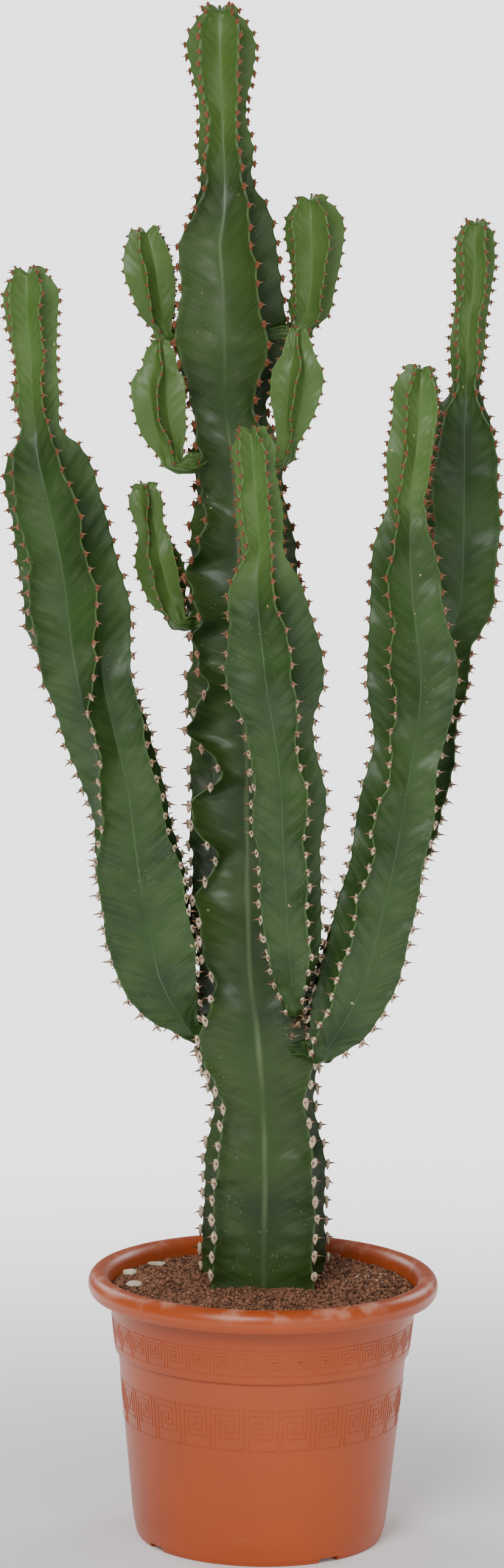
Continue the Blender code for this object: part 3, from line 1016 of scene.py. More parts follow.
    def _tooth_phase(self, rib: int) -> np.ndarray:
        """Count the teeth along a rib, which crowd together near the top.

        Args:
            rib: the rib's index.

        Returns:
            How many teeth the rib has passed at each ring.
        """
        rate = (1 + self.habit.crowding * self._freshness()) / self.habit.pitch
        steps = np.diff(self.along, prepend=self.along[0])
        return np.cumsum(rate * steps) + self.shifts[rib]

    def _fade(self) -> np.ndarray:
        """One along the stem, falling to nothing over the growing point."""
        fade = np.ones(len(self.along))
        fade[self.tip_start :] = np.linspace(1, 0, self.tip_rows) ** 0.5
        return fade

    def _edge(self, rib: int) -> tuple[np.ndarray, np.ndarray, np.ndarray]:
        """The toothed, gently swaying crest of a rib.

        Args:
            rib: the rib's index.

        Returns:
            The crest's points, the outward directions and the sideways directions.
        """
        out = unit(self.crests[:, rib] - self.centres)
        side = unit(np.cross(self.axes, out))
        bite = 1 - np.abs(np.sin(np.pi * self._tooth_phase(rib))) ** self.tooth_point
        fade = self._fade()[:, None]
        near = np.exp(-(((self.crests[:, rib, 2] - self.wave_height) / self.wave_spread) ** 2))
        facing = max(0.0, float(unit(out.mean(axis=0)) @ self.wave_side)) ** 2
        swing = self.sway + self.habit.wave * near * (self.wave_least + facing)
        slow, quick = self.sway_rates
        start = self.sways[rib]
        sway = np.sin(self.along * slow + start) + self.sway_second * np.sin(self.along * quick + 2 * start)
        crest = self.crests[:, rib] + out * ((bite - self.tooth_middle) * self.habit.tooth)[:, None] * fade
        crest = crest + side * (sway * swing)[:, None] * fade
        return crest, out, side

    def _flank(self, rib: int, hollow: int, way: int) -> np.ndarray:
        """One side of a wing, from its hollow up to its rounded edge.

        Args:
            rib: the rib's index.
            hollow: the index of the hollow that it rises from.
            way: 1 if the rib lies anticlockwise of the hollow, -1 if clockwise.

        Returns:
            Points as (ring, step, xyz), from the hollow to the edge.
        """
        crest, out, side = self.edges[rib]
        floor = self.hollows[:, hollow]
        spoke = unit(floor - self.centres)
        lean = unit(np.cross(self.axes, spoke)) * way
        half = self.thick[:, None]
        end = crest - side * way * half - out * half
        gap = np.abs(np.einsum("ij,ij->i", floor - crest, side))[:, None]
        length = np.linalg.norm(end - floor, axis=1)[:, None]
        spread, rise = self.habit.bend
        first = floor + lean * np.maximum(gap - half, 0) * spread
        second = end - out * length * rise
        steps = np.linspace(0, 1, self.flank_steps + 1)[None, :, None]
        floor, first, second, end = (p[:, None, :] for p in (floor, first, second, end))
        keep = 1 - steps
        curve = keep**3 * floor + 3 * keep**2 * steps * first
        curve = curve + 3 * keep * steps**2 * second + steps**3 * end
        phase = self._tooth_phase(rib)[:, None, None]
        rising, falling = self.ripple_shape
        ripple = np.sin(math.tau * (phase - self.ripple_slant * steps)) * steps**rising * keep**falling
        fade = self._fade()[:, None, None]
        return curve - side[:, None, :] * way * ripple * self.ripple * fade

    def _cap(self, rib: int) -> np.ndarray:
        """The rounded edge of a wing.

        Args:
            rib: the rib's index.

        Returns:
            Points as (ring, step, xyz), from one flank over to the other.
        """
        crest, out, side = self.edges[rib]
        half = self.thick[:, None]
        turns = [math.radians(angle) for angle in self.cap_angles]
        spots = [crest - out * half + (out * math.sin(t) - side * math.cos(t)) * half for t in turns]
        return np.stack(spots, axis=1)

    def _rows(self) -> tuple[np.ndarray, np.ndarray]:
        """Lay the wings' columns side by side round the stem.

        Returns:
            The skin's rings, and how far across its wing each point lies.
        """
        columns, across = [], []
        share = list(np.linspace(0, self.flank_end, self.flank_steps + 1))
        for rib in range(RIBS):
            falling = self._flank(rib, rib, -1)[:, ::-1][:, :-1]
            columns += [self._flank(rib, rib - 1, 1), self._cap(rib), falling]
            across += share + list(self.cap_across) + share[::-1][:-1]
        rows = np.concatenate(columns, axis=1)
        foot = np.repeat(self.skeleton.foot[None], rows.shape[1], axis=0)[None]
        top = np.repeat(rows[-1].mean(axis=0)[None], rows.shape[1], axis=0)[None]
        rows = np.concatenate([foot, rows[:-1], top])
        return rows, np.repeat(np.array(across)[None], len(rows), axis=0)

    def build_skin(self) -> None:
        """Loft the skin and dress it."""
        rows, across = self._rows()
        along = np.concatenate([[0], self.along])
        start = self.habit.start_age
        fresh = np.concatenate([[0], self._freshness()])
        age = start + (1 - start) * (0.85 * fresh + 0.15 * along / along[-1])
        numbers = {
            "across": across,
            "along": np.repeat(along[:, None], rows.shape[1], axis=1),
            "age": np.repeat(age[:, None], rows.shape[1], axis=1),
        }
        name = self.node + "_skin"
        settle(new_object(name, loft(name, rows, numbers), self.skin), self.habit.slot, self.node)

    def build_spines(self, thorns: "ThornSet") -> None:
        """Set a shield and a pair of spines on every tooth.

        Args:
            thorns: the templates.
        """
        name = self.node + "_spines"
        stamp = Stamp(name)
        for rib in range(RIBS):
            crest, out, side = self.edges[rib]
            phase = self._tooth_phase(rib)
            for tooth in range(math.ceil(phase[0]), math.floor(phase[-3]) + 1):
                row = int(np.argmin(np.abs(phase - tooth)))
                if self.along[row] < self.bare:
                    continue
                youth = self.along[row] / self.along[-1]
                local = [Vector(v[row]) for v in (side, self.axes, out)]
                thorns.set_tooth(stamp, self.random, Vector(crest[row]), local, self.growth, youth)
        mesh = stamp.mesh()
        mesh.materials.append(self.shield)
        mesh.materials.append(self.thorn)
        settle(new_object(name, mesh, self.shield), self.habit.slot)


@dataclass
class ThornSet:
    """The templates of a shield and a spine, and how they sit on a tooth."""

    shield_variants: tuple = (1.0, 4.0, 7.0)
    lumpiness: float = 0.34
    lump_scale: float = 1.9
    narrowing: float = 0.62
    thinning: float = 0.30
    spine_radii: Pair = (0.11, 0.008)
    spine_curve: float = 0.10
    splay: Pair = (0.8, 1.7)

    def __post_init__(self) -> None:
        """Model the templates."""
        self.shields = [self._shield(shift) for shift in self.shield_variants]
        self.spine = self._spine()

    def _shield(self, shift: float) -> bpy.types.Mesh:
        """A rough pad, pointed at its lower end, one unit in half-size.

        Args:
            shift: picks its lumps.

        Returns:
            The template.
        """
        bm = bmesh.new()
        bmesh.ops.create_uvsphere(bm, u_segments=8, v_segments=5, radius=1)
        bm.verts.layers.float.new("tip")
        for vert in bm.verts:
            vert.co *= 1 + self.lumpiness * noise.noise(vert.co * self.lump_scale + Vector((shift, 0, 0)))
            if vert.co.y < 0:
                vert.co.x *= 1 + self.narrowing * vert.co.y
            vert.co.z *= 1 + self.thinning * vert.co.y
        return mesh_from("shield_template", bm)

    def _spine(self) -> bpy.types.Mesh:
        """A slightly curved cone one unit long, along +Z, with its tip share stored.

        Returns:
            The template, on the second material.
        """
        bm = bmesh.new()
        thick, thin = self.spine_radii
        bmesh.ops.create_cone(bm, cap_ends=True, segments=6, radius1=thick, radius2=thin, depth=1)
        bmesh.ops.translate(bm, vec=(0, 0, 0.5), verts=bm.verts)
        sides = [edge for edge in bm.edges if abs(edge.verts[0].co.z - edge.verts[1].co.z) > 0.5]
        bmesh.ops.subdivide_edges(bm, edges=sides, cuts=1)
        layer = bm.verts.layers.float.new("tip")
        for vert in bm.verts:
            vert[layer] = vert.co.z
            vert.co.y += self.spine_curve * vert.co.z**2
        for face in bm.faces:
            face.material_index = 1
        return mesh_from("spine_template", bm)

    def set_tooth(
        self, stamp: Stamp, dice: random.Random, place: Vector, local: list, growth: Growth, youth: float
    ) -> None:
        """Stamp one shield and its pair of spines.

        Args:
            stamp: the collection to add to.
            dice: the stem's own source of variation.
            place: the tooth's point.
            local: the directions sideways, along the stem and outwards.
            growth: the stem's growth.
            youth: 0 at the stem's foot and 1 at its tip.
        """
        side, along, out = local
        habit = HABITS[growth]
        tender = 1 - 0.45 * youth**2 if growth is not Growth.YOUNG else 1 - 0.25 * youth
        size = [v * tender * dice.uniform(0.82, 1.2) for v in habit.shield]
        twist = Matrix.Rotation(dice.uniform(-0.25, 0.25), 4, "Z")
        base = frame_matrix(side, along, out, place + out * 0.1 * MM - along * 0.25 * size[1])
        stamp.put(dice.choice(self.shields), base @ twist @ Matrix.Diagonal((*size, 1)))
        for way in (-1, 1):
            length = habit.spine * tender * dice.uniform(0.75, 1.2)
            heading = out + side * way * dice.uniform(*self.splay) + along * dice.uniform(-0.3, 0.6)
            heading.normalize()
            across = heading.cross(along).normalized()
            root = place + out * 0.4 * size[2] + side * way * 0.35 * size[0]
            thick = habit.spine_width * tender
            set_spine = frame_matrix(across, across.cross(heading) * -1, heading, root)
            stamp.put(self.spine, set_spine @ Matrix.Diagonal((thick, thick, length, 1)))


@dataclass
class JointScar:
    """Dried, corky growth where a side stem leaves the trunk."""

    name: str
    place: Vector
    material: bpy.types.Material
    thorns: ThornSet
    seed: int = 5
    lumps: int = 26
    spread: float = 7.5 * MM
    tilt: float = 0.7
    shares: Triple = (0.55, 0.35, 1)
    youth: float = 0.4

    def build(self) -> None:
        """Heap shields and spines round the place."""
        dice = random.Random(self.seed)
        stamp = Stamp(self.name)
        for _ in range(self.lumps):
            out = Vector((dice.gauss(0, self.tilt), -1, dice.gauss(0, self.tilt))).normalized()
            side = out.cross(UP).normalized()
            along = side.cross(out) * -1
            shift = Vector([dice.gauss(0, share) for share in self.shares]) * self.spread
            self.thorns.set_tooth(stamp, dice, self.place + shift, [side, along, out], Growth.ARM, self.youth)
        mesh = stamp.mesh()
        mesh.materials.append(self.material)
        mesh.materials.append(self.material)
        settle(new_object(self.name, mesh, self.material), "trunk_skin")


# ----------------------------------------------------------------------- pot


@dataclass(frozen=True)
class KeyBand:
    """One band of keys: how many go round, and its lower and upper edge."""

    keys: int
    low: float
    high: float


@dataclass
class Pot:
    """The moulded pot: a turned shell, its key-pattern relief and its drainage.

    A pair is a radius and a height on the outer face, apart from the lip hook's:
    the angles in degrees at which the lip meets the wall and ends.
    """

    material: bpy.types.Material
    segments: int = 192
    lip_half_width: float = 8.2 * MM
    lip_half_height: float = 9.6 * MM
    lip_hook: Pair = (180, -50)
    lip_steps: int = 18
    wall: float = 2.8 * MM
    under_lip: Pair = (118.0 * MM, 187.0 * MM)
    collar_foot: Pair = (113.8 * MM, 148.0 * MM)
    wall_top: Pair = (111.0 * MM, 143.5 * MM)
    wall_foot: Pair = (99.0 * MM, 21.0 * MM)
    chamfer_top: Pair = (97.6 * MM, 11.0 * MM)
    foot_radius: float = 94.4 * MM
    step_height: float = 3.6 * MM
    step_width: float = 0.5 * MM
    floor: float = 8 * MM
    groove_count: int = 4
    groove_width: float = 17 * MM
    groove_depth: float = 3.8 * MM
    groove_start: float = 64 * MM
    groove_turn: float = math.radians(34)
    drain_radius: float = 5.5 * MM
    drain_circle: float = 73 * MM
    drain_segments: int = 32
    sharp_angle: float = math.radians(38)
    line_width: float = 0.9 * MM
    line_height: float = 0.30 * MM
    collar_band: KeyBand = KeyBand(36, 152.5 * MM, 172.5 * MM)
    wall_band: KeyBand = KeyBand(26, 93 * MM, 125 * MM)

    def profile(self) -> list[Pair]:
        """The turned outline from the axis under the foot, over the lip and back to the axis."""
        lowest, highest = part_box("pot")
        rim = (highest[0] - lowest[0]) / 2
        centre = (rim - self.lip_half_width, highest[2] - self.lip_half_height)
        at_wall, at_edge = self.lip_hook
        inner = (self.lip_half_width - self.wall, self.lip_half_height - self.wall)
        under = self._arc(centre, inner, at_wall, at_edge)
        over = self._arc(centre, (self.lip_half_width, self.lip_half_height), at_edge, at_wall)
        inside = [
            (radius - self.wall, height)
            for radius, height in (self.under_lip, self.collar_foot, self.wall_top, self.wall_foot)
        ]
        floor = [(self.foot_radius - self.wall, self.floor), (0, self.floor)]
        return self._outside() + under + over + inside + floor

    def _outside(self) -> list[Pair]:
        """The outer outline, from the axis under the foot up to the lip."""
        share = self.step_height / self.chamfer_top[1]
        at_step = self.foot_radius + share * (self.chamfer_top[0] - self.foot_radius)
        past_step = at_step + self.step_width
        collar, turn = self.collar_foot
        return [
            (0, 0),
            (self.foot_radius - 0.8 * MM, 0),
            (self.foot_radius, 0.5 * MM),
            (at_step, self.step_height),
            (past_step, self.step_height + 0.15 * MM),
            (past_step, self.step_height + 0.8 * MM),
            self.chamfer_top,
            self.wall_foot,
            self.wall_top,
            (self.wall_top[0] - 0.2 * MM, turn - 2.2 * MM),
            (collar - 0.7 * MM, turn - 1.6 * MM),
            (collar - 0.1 * MM, turn - 0.9 * MM),
            (collar + 0.1 * MM, turn + 0.4 * MM),
            self.under_lip,
        ]

    def _arc(self, centre: Pair, half: Pair, start: float, end: float) -> list[Pair]:
        """Points of an upright ellipse.

        Args:
            centre: its centre.
            half: its half-width and half-height.
            start: the first angle, in degrees.
            end: the last angle, in degrees.

        Returns:
            Radius and height for each point.
        """
        steps = self.lip_steps
        angles = [math.radians(start + (end - start) * step / steps) for step in range(steps + 1)]
        return [(centre[0] + half[0] * math.cos(a), centre[1] + half[1] * math.sin(a)) for a in angles]

    def build_shell(self) -> None:
        """Turn the shell, and cut its grooves and drain holes."""
        bm = bmesh.new()
        verts = [bm.verts.new((radius, 0, height)) for radius, height in self.profile()]
        edges = [bm.edges.new(pair) for pair in zip(verts, verts[1:])]
        bmesh.ops.spin(
            bm,
            geom=verts + edges,
            axis=UP,
            cent=(0, 0, 0),
            angle=math.tau,
            steps=self.segments,
            use_merge=True,
        )
        bmesh.ops.remove_doubles(bm, verts=bm.verts, dist=WELD)
        bmesh.ops.recalc_face_normals(bm, faces=bm.faces)
        piece = new_object("pot_shell", mesh_from("pot_shell", bm), self.material)
        for cutter in (self._grooves(), self._drains()):
            carve(piece, cutter)
        piece.data.set_sharp_from_angle(angle=self.sharp_angle)
        settle(piece, "pot_plastic", "pot")

    def _groove_angles(self) -> list[float]:
        """The directions of the grooves and their drain holes, measured from +X."""
        step = math.tau / self.groove_count
        return [self.groove_turn + step * index - math.pi / 2 for index in range(self.groove_count)]

    def _grooves(self) -> bmesh.types.BMesh:
        """The radial grooves under the foot."""
        bm = bmesh.new()
        length = self.foot_radius
        for angle in self._groove_angles():
            made = bmesh.ops.create_cube(bm, size=1)["verts"]
            bmesh.ops.scale(bm, vec=(length, self.groove_width, 2 * self.groove_depth), verts=made)
            bmesh.ops.translate(bm, vec=(self.groove_start + length / 2, 0, 0), verts=made)
            turn = Matrix.Rotation(angle, 3, "Z")
            bmesh.ops.rotate(bm, cent=(0, 0, 0), matrix=turn, verts=made)
        return bm

    def _drains(self) -> bmesh.types.BMesh:
        """The drain holes through the floor."""
        bm = bmesh.new()
        for angle in self._groove_angles():
            made = bmesh.ops.create_cone(
                bm,
                cap_ends=True,
                segments=self.drain_segments,
                radius1=self.drain_radius,
                radius2=self.drain_radius,
                depth=4 * self.floor,
            )["verts"]
            place = (self.drain_circle * math.cos(angle), self.drain_circle * math.sin(angle), 0)
            bmesh.ops.translate(bm, vec=place, verts=made)
        return bm

    def build_relief(self) -> None:
        """Emboss the two key-pattern bands."""
        bm = bmesh.new()
        self._wrap(bm, self.collar_band, self.collar_foot, self.under_lip)
        self._wrap(bm, self.wall_band, self.wall_foot, self.wall_top)
        piece = new_object("pot_relief", mesh_from("pot_relief", bm), self.material)
        piece.data.set_sharp_from_angle(angle=self.sharp_angle)
        settle(piece, "pot_plastic")

    def _wrap(self, bm: bmesh.types.BMesh, band: KeyBand, lower: Pair, upper: Pair) -> None:
        """Lay one band of keys out flat, then wrap it round a tapering wall.

        Args:
            bm: the mesh to add to.
            band: the band.
            lower: the wall's foot.
            upper: the wall's top.
        """
        run, rise = upper[0] - lower[0], upper[1] - lower[1]
        radius = lower[0] + run * ((band.low + band.high) / 2 - lower[1]) / rise
        width = math.tau / band.keys * radius
        flat = bmesh.new()
        for index in range(band.keys):
            for start, end in key_strokes(width, band.high - band.low):
                self._stroke(flat, start, end, index * width)
        longest = 4 * self.line_width
        long_edges = [e for e in flat.edges if abs(e.verts[0].co.x - e.verts[1].co.x) > longest]
        bmesh.ops.subdivide_edges(flat, edges=long_edges, cuts=3)
        for vert in flat.verts:
            slope = (band.low + vert.co.z - lower[1]) / rise
            reach = lower[0] + run * slope + vert.co.y
            angle = vert.co.x / radius
            vert.co = (reach * math.cos(angle), reach * math.sin(angle), band.low + vert.co.z)
        bm.from_mesh(mesh_from("band", flat))

    def _stroke(self, bm: bmesh.types.BMesh, start: Pair, end: Pair, shift: float) -> None:
        """One straight ridge of the pattern, laid flat.

        Args:
            bm: the mesh to add to.
            start: one end, across and up.
            end: the other end.
            shift: how far along the band its key begins.
        """
        wide, high = abs(end[0] - start[0]), abs(end[1] - start[1])
        size = (wide + self.line_width, 2 * self.line_height, high + self.line_width)
        made = bmesh.ops.create_cube(bm, size=1)["verts"]
        bmesh.ops.scale(bm, vec=size, verts=made)
        middle = ((start[0] + end[0]) / 2 + shift, 0, (start[1] + end[1]) / 2)
        bmesh.ops.translate(bm, vec=middle, verts=made)


# A plain square-cornered key, as two routes on a grid of units
KEY_UNITS = 7
KEY_ROUTES = (
    ((0, 0), (0, 7), (6, 7), (6, 2), (2, 2), (2, 5), (4, 5)),
    ((7, 0), (1, 0), (1, 6), (5, 6), (5, 3), (3, 3), (3, 4), (4, 4), (4, 5)),
)


def key_strokes(width: float, tall: float) -> list[tuple[Pair, Pair]]:
    """The straight strokes of one key.

    Args:
        width: the key's width.
        tall: the key's height.

    Returns:
        The start and end of each stroke.
    """
    strokes = []
    for route in KEY_ROUTES:
        corners = [(across * width / KEY_UNITS, up * tall / KEY_UNITS) for across, up in route]
        strokes += zip(corners, corners[1:])
    return strokes


def carve(piece: bpy.types.Object, cutter: bmesh.types.BMesh) -> None:
    """Cut a shape out of a piece and leave the result in its mesh.

    Args:
        piece: the piece to cut.
        cutter: the shape, which is used up.
    """
    bmesh.ops.recalc_face_normals(cutter, faces=cutter.faces)
    tool = bpy.data.objects.new("cutter", mesh_from("cutter", cutter))
    bpy.context.scene.collection.objects.link(tool)
    modifier = piece.modifiers.new("cut", "BOOLEAN")
    modifier.operation = "DIFFERENCE"
    modifier.solver = "EXACT"
    modifier.object = tool
    graph = bpy.context.evaluated_depsgraph_get()
    shaped = bpy.data.meshes.new_from_object(piece.evaluated_get(graph))
    piece.modifiers.clear()
    piece.data = shaped
    bpy.data.objects.remove(tool)


# ---------------------------------------------------------------------- soil


@dataclass
class Soil:
    """The potting mix: a rough filled body with loose grains on top.

    Each swell of the surface is a height and how closely it repeats. The crumbs'
    area and sizes are in millimetres.
    """

    material: bpy.types.Material
    seed: int = 11
    around: int = 240
    crown: float = 201 * MM
    edge: float = 194.5 * MM
    gap: float = 0.4 * MM
    overlap: float = 1.5 * MM
    surface_rings: int = 70
    swells: tuple = ((1.7 * MM, 60), (1.0 * MM, 190))
    body_tone: float = 0.35
    tones: int = 8
    trunk_radius: float = 36 * MM
    grain_count: int = 9000
    grain_sizes: Pair = (0.7 * MM, 1.9 * MM)
    grain_reach: float = 0.985
    grain_skew: float = 2.4
    heap_count: int = 90
    heap_place: Pair = (52 * MM, 88 * MM)
    heap_spread: Pair = (5 * MM, 4 * MM)
    heap_height: float = 4 * MM
    crumb_count: int = 46
    crumb_area: tuple = ((60, 104), (-30, 48))
    crumb_reach: float = 0.95
    crumb_sizes: Pair = (0.4, 0.9)
    crumb_lift: float = 0.8 * MM

    def __post_init__(self) -> None:
        """Read the space that the soil fills."""
        lowest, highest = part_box("soil")
        self.low, self.radius = lowest[2], (highest[0] - lowest[0]) / 2
        self.random = random.Random(self.seed)

    def height(self, x: float, y: float) -> float:
        """The surface's height, with its lumps, which die down at the pot's wall.

        Args:
            x: the place across.
            y: the place in depth.

        Returns:
            The height.
        """
        share = min(math.hypot(x, y) / self.radius, 1)
        mound = self.edge + (self.crown - self.edge) * math.cos(share * math.pi / 2)
        lumps = sum(size * noise.noise(Vector((x, y, 0)) * rate) for size, rate in self.swells)
        return mound + lumps * min(1, 6 * (1 - share) + 0.25)

    def build_body(self) -> None:
        """Loft the filled body."""
        bottom = Pot.foot_radius - Pot.wall - 1 * MM
        sides = [(0, self.low), (bottom / 2, self.low), (bottom, self.low)]
        sides += [(radius - Pot.wall - self.gap, height) for radius, height in (Pot.wall_foot, Pot.wall_top)]
        sides.append((self.radius - self.gap, Pot.under_lip[1]))
        turns = np.linspace(0, math.tau, self.around, endpoint=False)
        rows = [[(r * math.cos(a), r * math.sin(a), z) for a in turns] for r, z in sides]
        for share in np.linspace(1, 0, self.surface_rings):
            reach = share * (self.radius + self.overlap)
            spots = [(reach * math.cos(a), reach * math.sin(a)) for a in turns]
            rows.append([(x, y, self.height(x, y)) for x, y in spots])
        rows = np.array(rows)
        tone = np.full(rows.shape[:2], self.body_tone)
        piece = new_object("soil_body", loft("soil_body", rows, {"tone": tone}), self.material)
        settle(piece, "soil_mix", "soil")

    def _grain_templates(self) -> list[bpy.types.Mesh]:
        """Model chipped grains one unit in radius.

        Returns:
            One template for each tone, the last of them pale.
        """
        made = []
        for index in range(self.tones):
            bm = bmesh.new()
            bmesh.ops.create_icosphere(bm, subdivisions=1, radius=1)
            layer = bm.verts.layers.float.new("tone")
            for vert in bm.verts:
                vert[layer] = 1.0 if index == self.tones - 1 else 0.85 * index / (self.tones - 2)
                vert.co *= self.random.uniform(0.7, 1.25)
            made.append(mesh_from("grain_template", bm))
        return made

    def _grain(self, stamp: Stamp, template: bpy.types.Mesh, spot: Pair, size: float, lift: float) -> None:
        """Drop one grain on the surface.

        Args:
            stamp: the collection to add to.
            template: the grain's shape.
            spot: where it lies.
            size: its radius.
            lift: how far its middle stands above the surface.
        """
        turn = Matrix.Rotation(self.random.uniform(0, math.tau), 4, "Z")
        tilt = Matrix.Rotation(self.random.uniform(0, math.pi), 4, "X")
        shape = [size * self.random.uniform(0.65, 1.3) for _ in range(3)]
        place = Matrix.Translation((*spot, self.height(*spot) + lift))
        stamp.put(template, place @ turn @ tilt @ Matrix.Diagonal((*shape, 1)))

    def build_grains(self) -> None:
        """Scatter the loose grains, a small heap behind, and a few pale crumbs."""
        dice = self.random
        stamp = Stamp("soil_grains")
        *brown, pale = self._grain_templates()
        small, large = self.grain_sizes
        nearest = (self.trunk_radius / self.radius) ** 2
        for _ in range(self.grain_count):
            reach = self.radius * math.sqrt(dice.uniform(nearest, self.grain_reach))
            angle = dice.uniform(0, math.tau)
            size = small + (large - small) * dice.random() ** self.grain_skew
            spot = (reach * math.cos(angle), reach * math.sin(angle))
            self._grain(stamp, dice.choice(brown), spot, size, 0.25 * size)
        for _ in range(self.heap_count):
            spot = tuple(p + dice.gauss(0, s) for p, s in zip(self.heap_place, self.heap_spread))
            self._grain(stamp, dice.choice(brown), spot, large, dice.uniform(0, self.heap_height))
        for _ in range(self.crumb_count):
            spot = tuple(dice.uniform(*side) * MM for side in self.crumb_area)
            if math.hypot(*spot) < self.crumb_reach * self.radius:
                self._grain(stamp, pale, spot, dice.uniform(*self.crumb_sizes) * MM, self.crumb_lift)
        settle(new_object("soil_grains", stamp.mesh(), self.material), "soil_mix")


@dataclass
class Stone:
    """A pale, worn piece lying on the soil.

    Each wear is a depth, as a share of the stone, and how closely it repeats.
    """

    node: str
    material: bpy.types.Material
    seed: int
    wear: tuple = ((0.30, 2.2), (0.07, 9))
    flat_above: float = 0.22
    flattening: float = 0.45
    fullness: float = 1.02
    sunk: float = 1.2 * MM

    def build(self) -> None:
        """Shape the stone inside its frame node's box."""
        lowest, highest = (Vector(corner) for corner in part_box(self.node))
        bm = bmesh.new()
        bmesh.ops.create_icosphere(bm, subdivisions=4, radius=0.5)
        shift = Vector((self.seed * 3.1, self.seed * 1.7, 0))
        for vert in bm.verts:
            lumps = (depth * noise.noise(vert.co * rate + shift) for depth, rate in self.wear)
            vert.co *= sum(lumps, start=1)
            if vert.co.z > self.flat_above:
                vert.co.z = self.flat_above + (vert.co.z - self.flat_above) * self.flattening
        bmesh.ops.scale(bm, vec=(highest - lowest) * self.fullness, verts=bm.verts)
        bmesh.ops.translate(bm, vec=(lowest + highest) / 2 - UP * self.sunk, verts=bm.verts)
        name = self.node + "_shape"
        settle(new_object(name, mesh_from(name, bm), self.material), "pale_stone", self.node)


# -------------------------------------------------------------------- studio


@dataclass(frozen=True)
class Softbox:
    """One square soft light, aimed at the plant's middle."""

    name: str
    place: Triple
    size: float
    power: float
    target: Triple = (0, 0, 0.6)

    def hang(self) -> None:
        """Put the light in the scene."""
        data = bpy.data.lights.new(self.name, "AREA")
        data.size = self.size
        data.energy = self.power
        lamp = bpy.data.objects.new(self.name, data)
        lamp.location = self.place
        aim = Vector(self.target) - Vector(self.place)
        lamp.rotation_euler = aim.to_track_quat("-Z", "Y").to_euler()
        bpy.context.scene.collection.objects.link(lamp)


SOFTBOXES = (
    Softbox("key_light", (-0.9, -2.7, 2.3), 1.3, 92),
    Softbox("fill_light", (1.7, -2.6, 1.2), 1.4, 20),
    Softbox("left_edge_light", (-1.9, 1.9, 1.6), 1.2, 30),
    Softbox("right_edge_light", (1.9, 1.9, 1.6), 1.2, 30),
)


@dataclass
class Studio:
    """A pale floor, soft lights and the camera. The camera's turns are in radians."""

    distance: float = 3.68
    eye_height: float = 1.092
    pitch: float = 0.1366
    roll: float = 0.0142
    yaw: float = -0.0038
    lens: float = 112.08
    sensor: float = 36.0
    floor_radius: float = 1.5
    floor_tints: tuple = ((0.86, 0.86, 0.86), (0.88, 0.88, 0.88))
    glow_start: float = 0.1
    glow_rise: float = 1.7
    glow_least: float = 0.05
    room_light: float = 0.32
    surround_light: float = 2.6

    def build_floor(self) -> None:
        """Lay a round pale floor that glows towards its edge, so that it meets the pale surround."""
        bm = bmesh.new()
        bmesh.ops.create_circle(bm, cap_ends=True, segments=96, radius=self.floor_radius)
        shader = Shader("studio_floor")
        colour = shader.mix(shader.noise(3, 2), *self.floor_tints)
        reach = shader.node("VectorMath", operation="LENGTH")
        shader.join(shader.place(), reach.inputs[0])
        rise = shader.ramp(reach.outputs["Value"], self.glow_start, self.floor_radius)
        glow = shader.plus(shader.times(rise, self.glow_rise), self.glow_least)
        shader.join(glow, shader.surface.inputs["Emission Strength"])
        shader.surface.inputs["Emission Color"].default_value = (1, 1, 1, 1)
        shader.fixed(Roughness=0.8)
        floor = new_object("studio_floor", mesh_from("studio_floor", bm), shader.finish(colour))

    def build_lights(self) -> None:
        """Hang the softboxes in a dim white room that looks bright only to the camera."""
        world = bpy.data.worlds.new("studio_room")
        bpy.context.scene.world = world
        world.use_nodes = True
        tree = world.node_tree
        mixed = tree.nodes.new("ShaderNodeMixShader")
        seen = tree.nodes.new("ShaderNodeLightPath").outputs["Is Camera Ray"]
        tree.links.new(seen, mixed.inputs[0])
        room, surround = tree.nodes["Background"], tree.nodes.new("ShaderNodeBackground")
        strengths = (room, self.room_light), (surround, self.surround_light)
        for index, (shade, strength) in enumerate(strengths, start=1):
            shade.inputs["Color"].default_value = (1, 1, 1, 1)
            shade.inputs["Strength"].default_value = strength
            tree.links.new(shade.outputs[0], mixed.inputs[index])
        tree.links.new(mixed.outputs[0], tree.nodes["World Output"].inputs["Surface"])
        for softbox in SOFTBOXES:
            softbox.hang()

    def build_camera(self) -> None:
        """Stand the camera in front of the plant, a little above its middle, looking slightly down."""
        across, onward = math.sin(self.yaw), math.cos(self.yaw)
        level_share = math.cos(self.pitch)
        ahead = Vector((across * level_share, onward * level_share, -math.sin(self.pitch)))
        level = Vector((onward, -across, 0))
        upright = level.cross(ahead)
        right = level * math.cos(self.roll) + upright * math.sin(self.roll)
        top = upright * math.cos(self.roll) - level * math.sin(self.roll)
        data = bpy.data.cameras.new("camera")
        data.sensor_fit = "VERTICAL"
        data.sensor_height = self.sensor
        data.lens = self.lens
        camera = bpy.data.objects.new("camera", data)
        camera.matrix_world = frame_matrix(right, top, -ahead, Vector((0, -self.distance, self.eye_height)))
        bpy.context.scene.collection.objects.link(camera)
        bpy.context.scene.camera = camera


# ---------------------------------------------------------------------- main

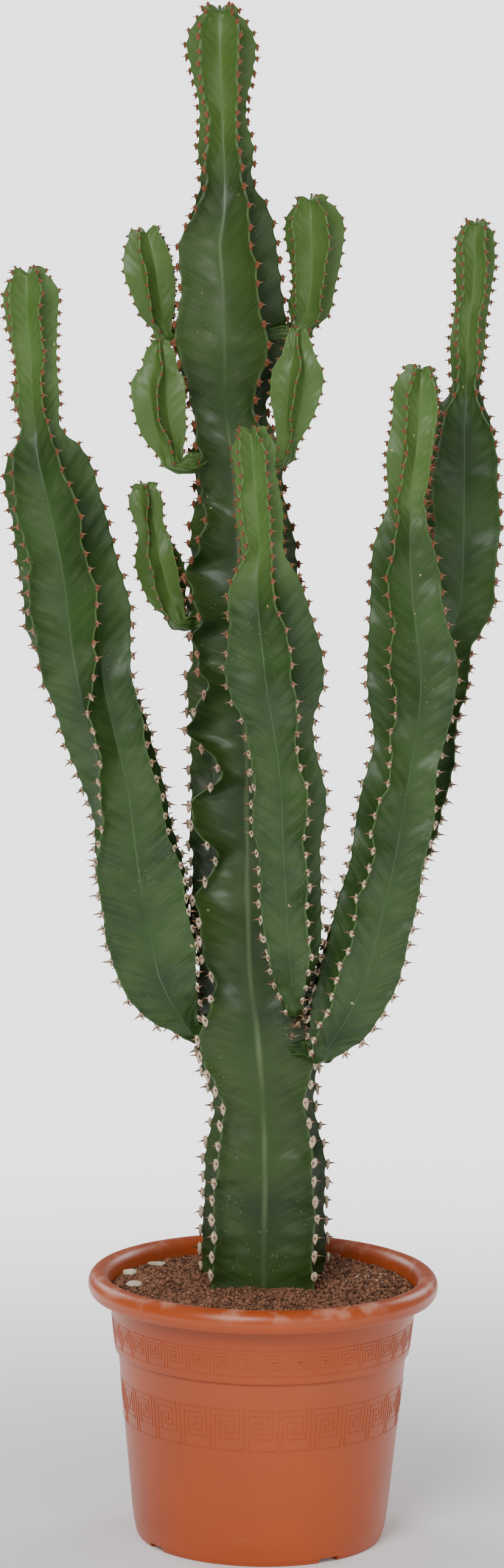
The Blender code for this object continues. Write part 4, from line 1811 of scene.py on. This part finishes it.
SKINS = {
    Growth.OLD: SkinFinish(
        "trunk_skin",
        deep=(0.006, 0.022, 0.003),
        bright=(0.026, 0.058, 0.008),
        tender=(0.070, 0.138, 0.026),
        pale_line=(0.13, 0.19, 0.085),
        line_width=0.09,
        margin=(0.09, 0.16, 0.035),
        dust=0.10,
        feather_tint=(0.060, 0.095, 0.026),
        feather_share=0.26,
    ),
    Growth.ARM: SkinFinish(
        "arm_skin",
        deep=(0.008, 0.029, 0.005),
        bright=(0.027, 0.066, 0.013),
        tender=(0.084, 0.160, 0.034),
        pale_line=(0.11, 0.19, 0.065),
        line_width=0.05,
        margin=(0.10, 0.19, 0.035),
        dust=0.02,
        feather_tint=(0.060, 0.112, 0.026),
        feather_share=0.30,
    ),
    Growth.YOUNG: SkinFinish(
        "young_skin",
        deep=(0.010, 0.033, 0.006),
        bright=(0.031, 0.072, 0.014),
        tender=(0.084, 0.156, 0.032),
        pale_line=(0.13, 0.22, 0.07),
        line_width=0.06,
        margin=(0.12, 0.20, 0.045),
        dust=0.0,
        feather_tint=(0.066, 0.120, 0.030),
        scabs=0.0,
    ),
}

STEMS = {
    Growth.OLD: ("trunk",),
    Growth.ARM: ("left_arm", "centre_arm", "right_front_arm", "right_back_arm"),
    Growth.YOUNG: (
        "upper_left_offset",
        "lower_left_offset",
        "small_left_offset",
        "upper_right_offset",
        "lower_right_offset",
    ),
}
STONES = ("stone_1", "stone_2", "stone_3")
FIRST_STEM_SEED = 21
SCAR_PLACE = Vector((0.026, -0.040, 0.418))


def build_plant() -> None:
    """Build every stem, with its spines, and the scar at the right-hand joint."""
    shield, thorn = ShieldFinish().material(), ThornFinish().material()
    thorns = ThornSet()
    host = Skeleton.read("trunk").centres
    seed = FIRST_STEM_SEED
    for growth, nodes in STEMS.items():
        skin = SKINS[growth].material()
        for node in nodes:
            stem = Stem(node, growth, skin, shield, thorn, seed, host)
            stem.build_skin()
            stem.build_spines(thorns)
            seed += 1
    JointScar("right_joint_scar", SCAR_PLACE, ScarFinish().material(), thorns).build()


def main() -> None:
    """Build the studio and every piece in order."""
    logging.basicConfig(level=logging.INFO, format="%(message)s")
    studio = Studio()
    studio.build_camera()
    studio.build_lights()
    studio.build_floor()

    pot = Pot(PlasticFinish().material())
    pot.build_shell()
    pot.build_relief()
    soil = Soil(SoilFinish().material())
    soil.build_body()
    soil.build_grains()
    pale = StoneFinish().material()
    for seed, node in enumerate(STONES, start=1):
        Stone(node, pale, seed).build()
    build_plant()


if __name__ == "__main__":
    main()
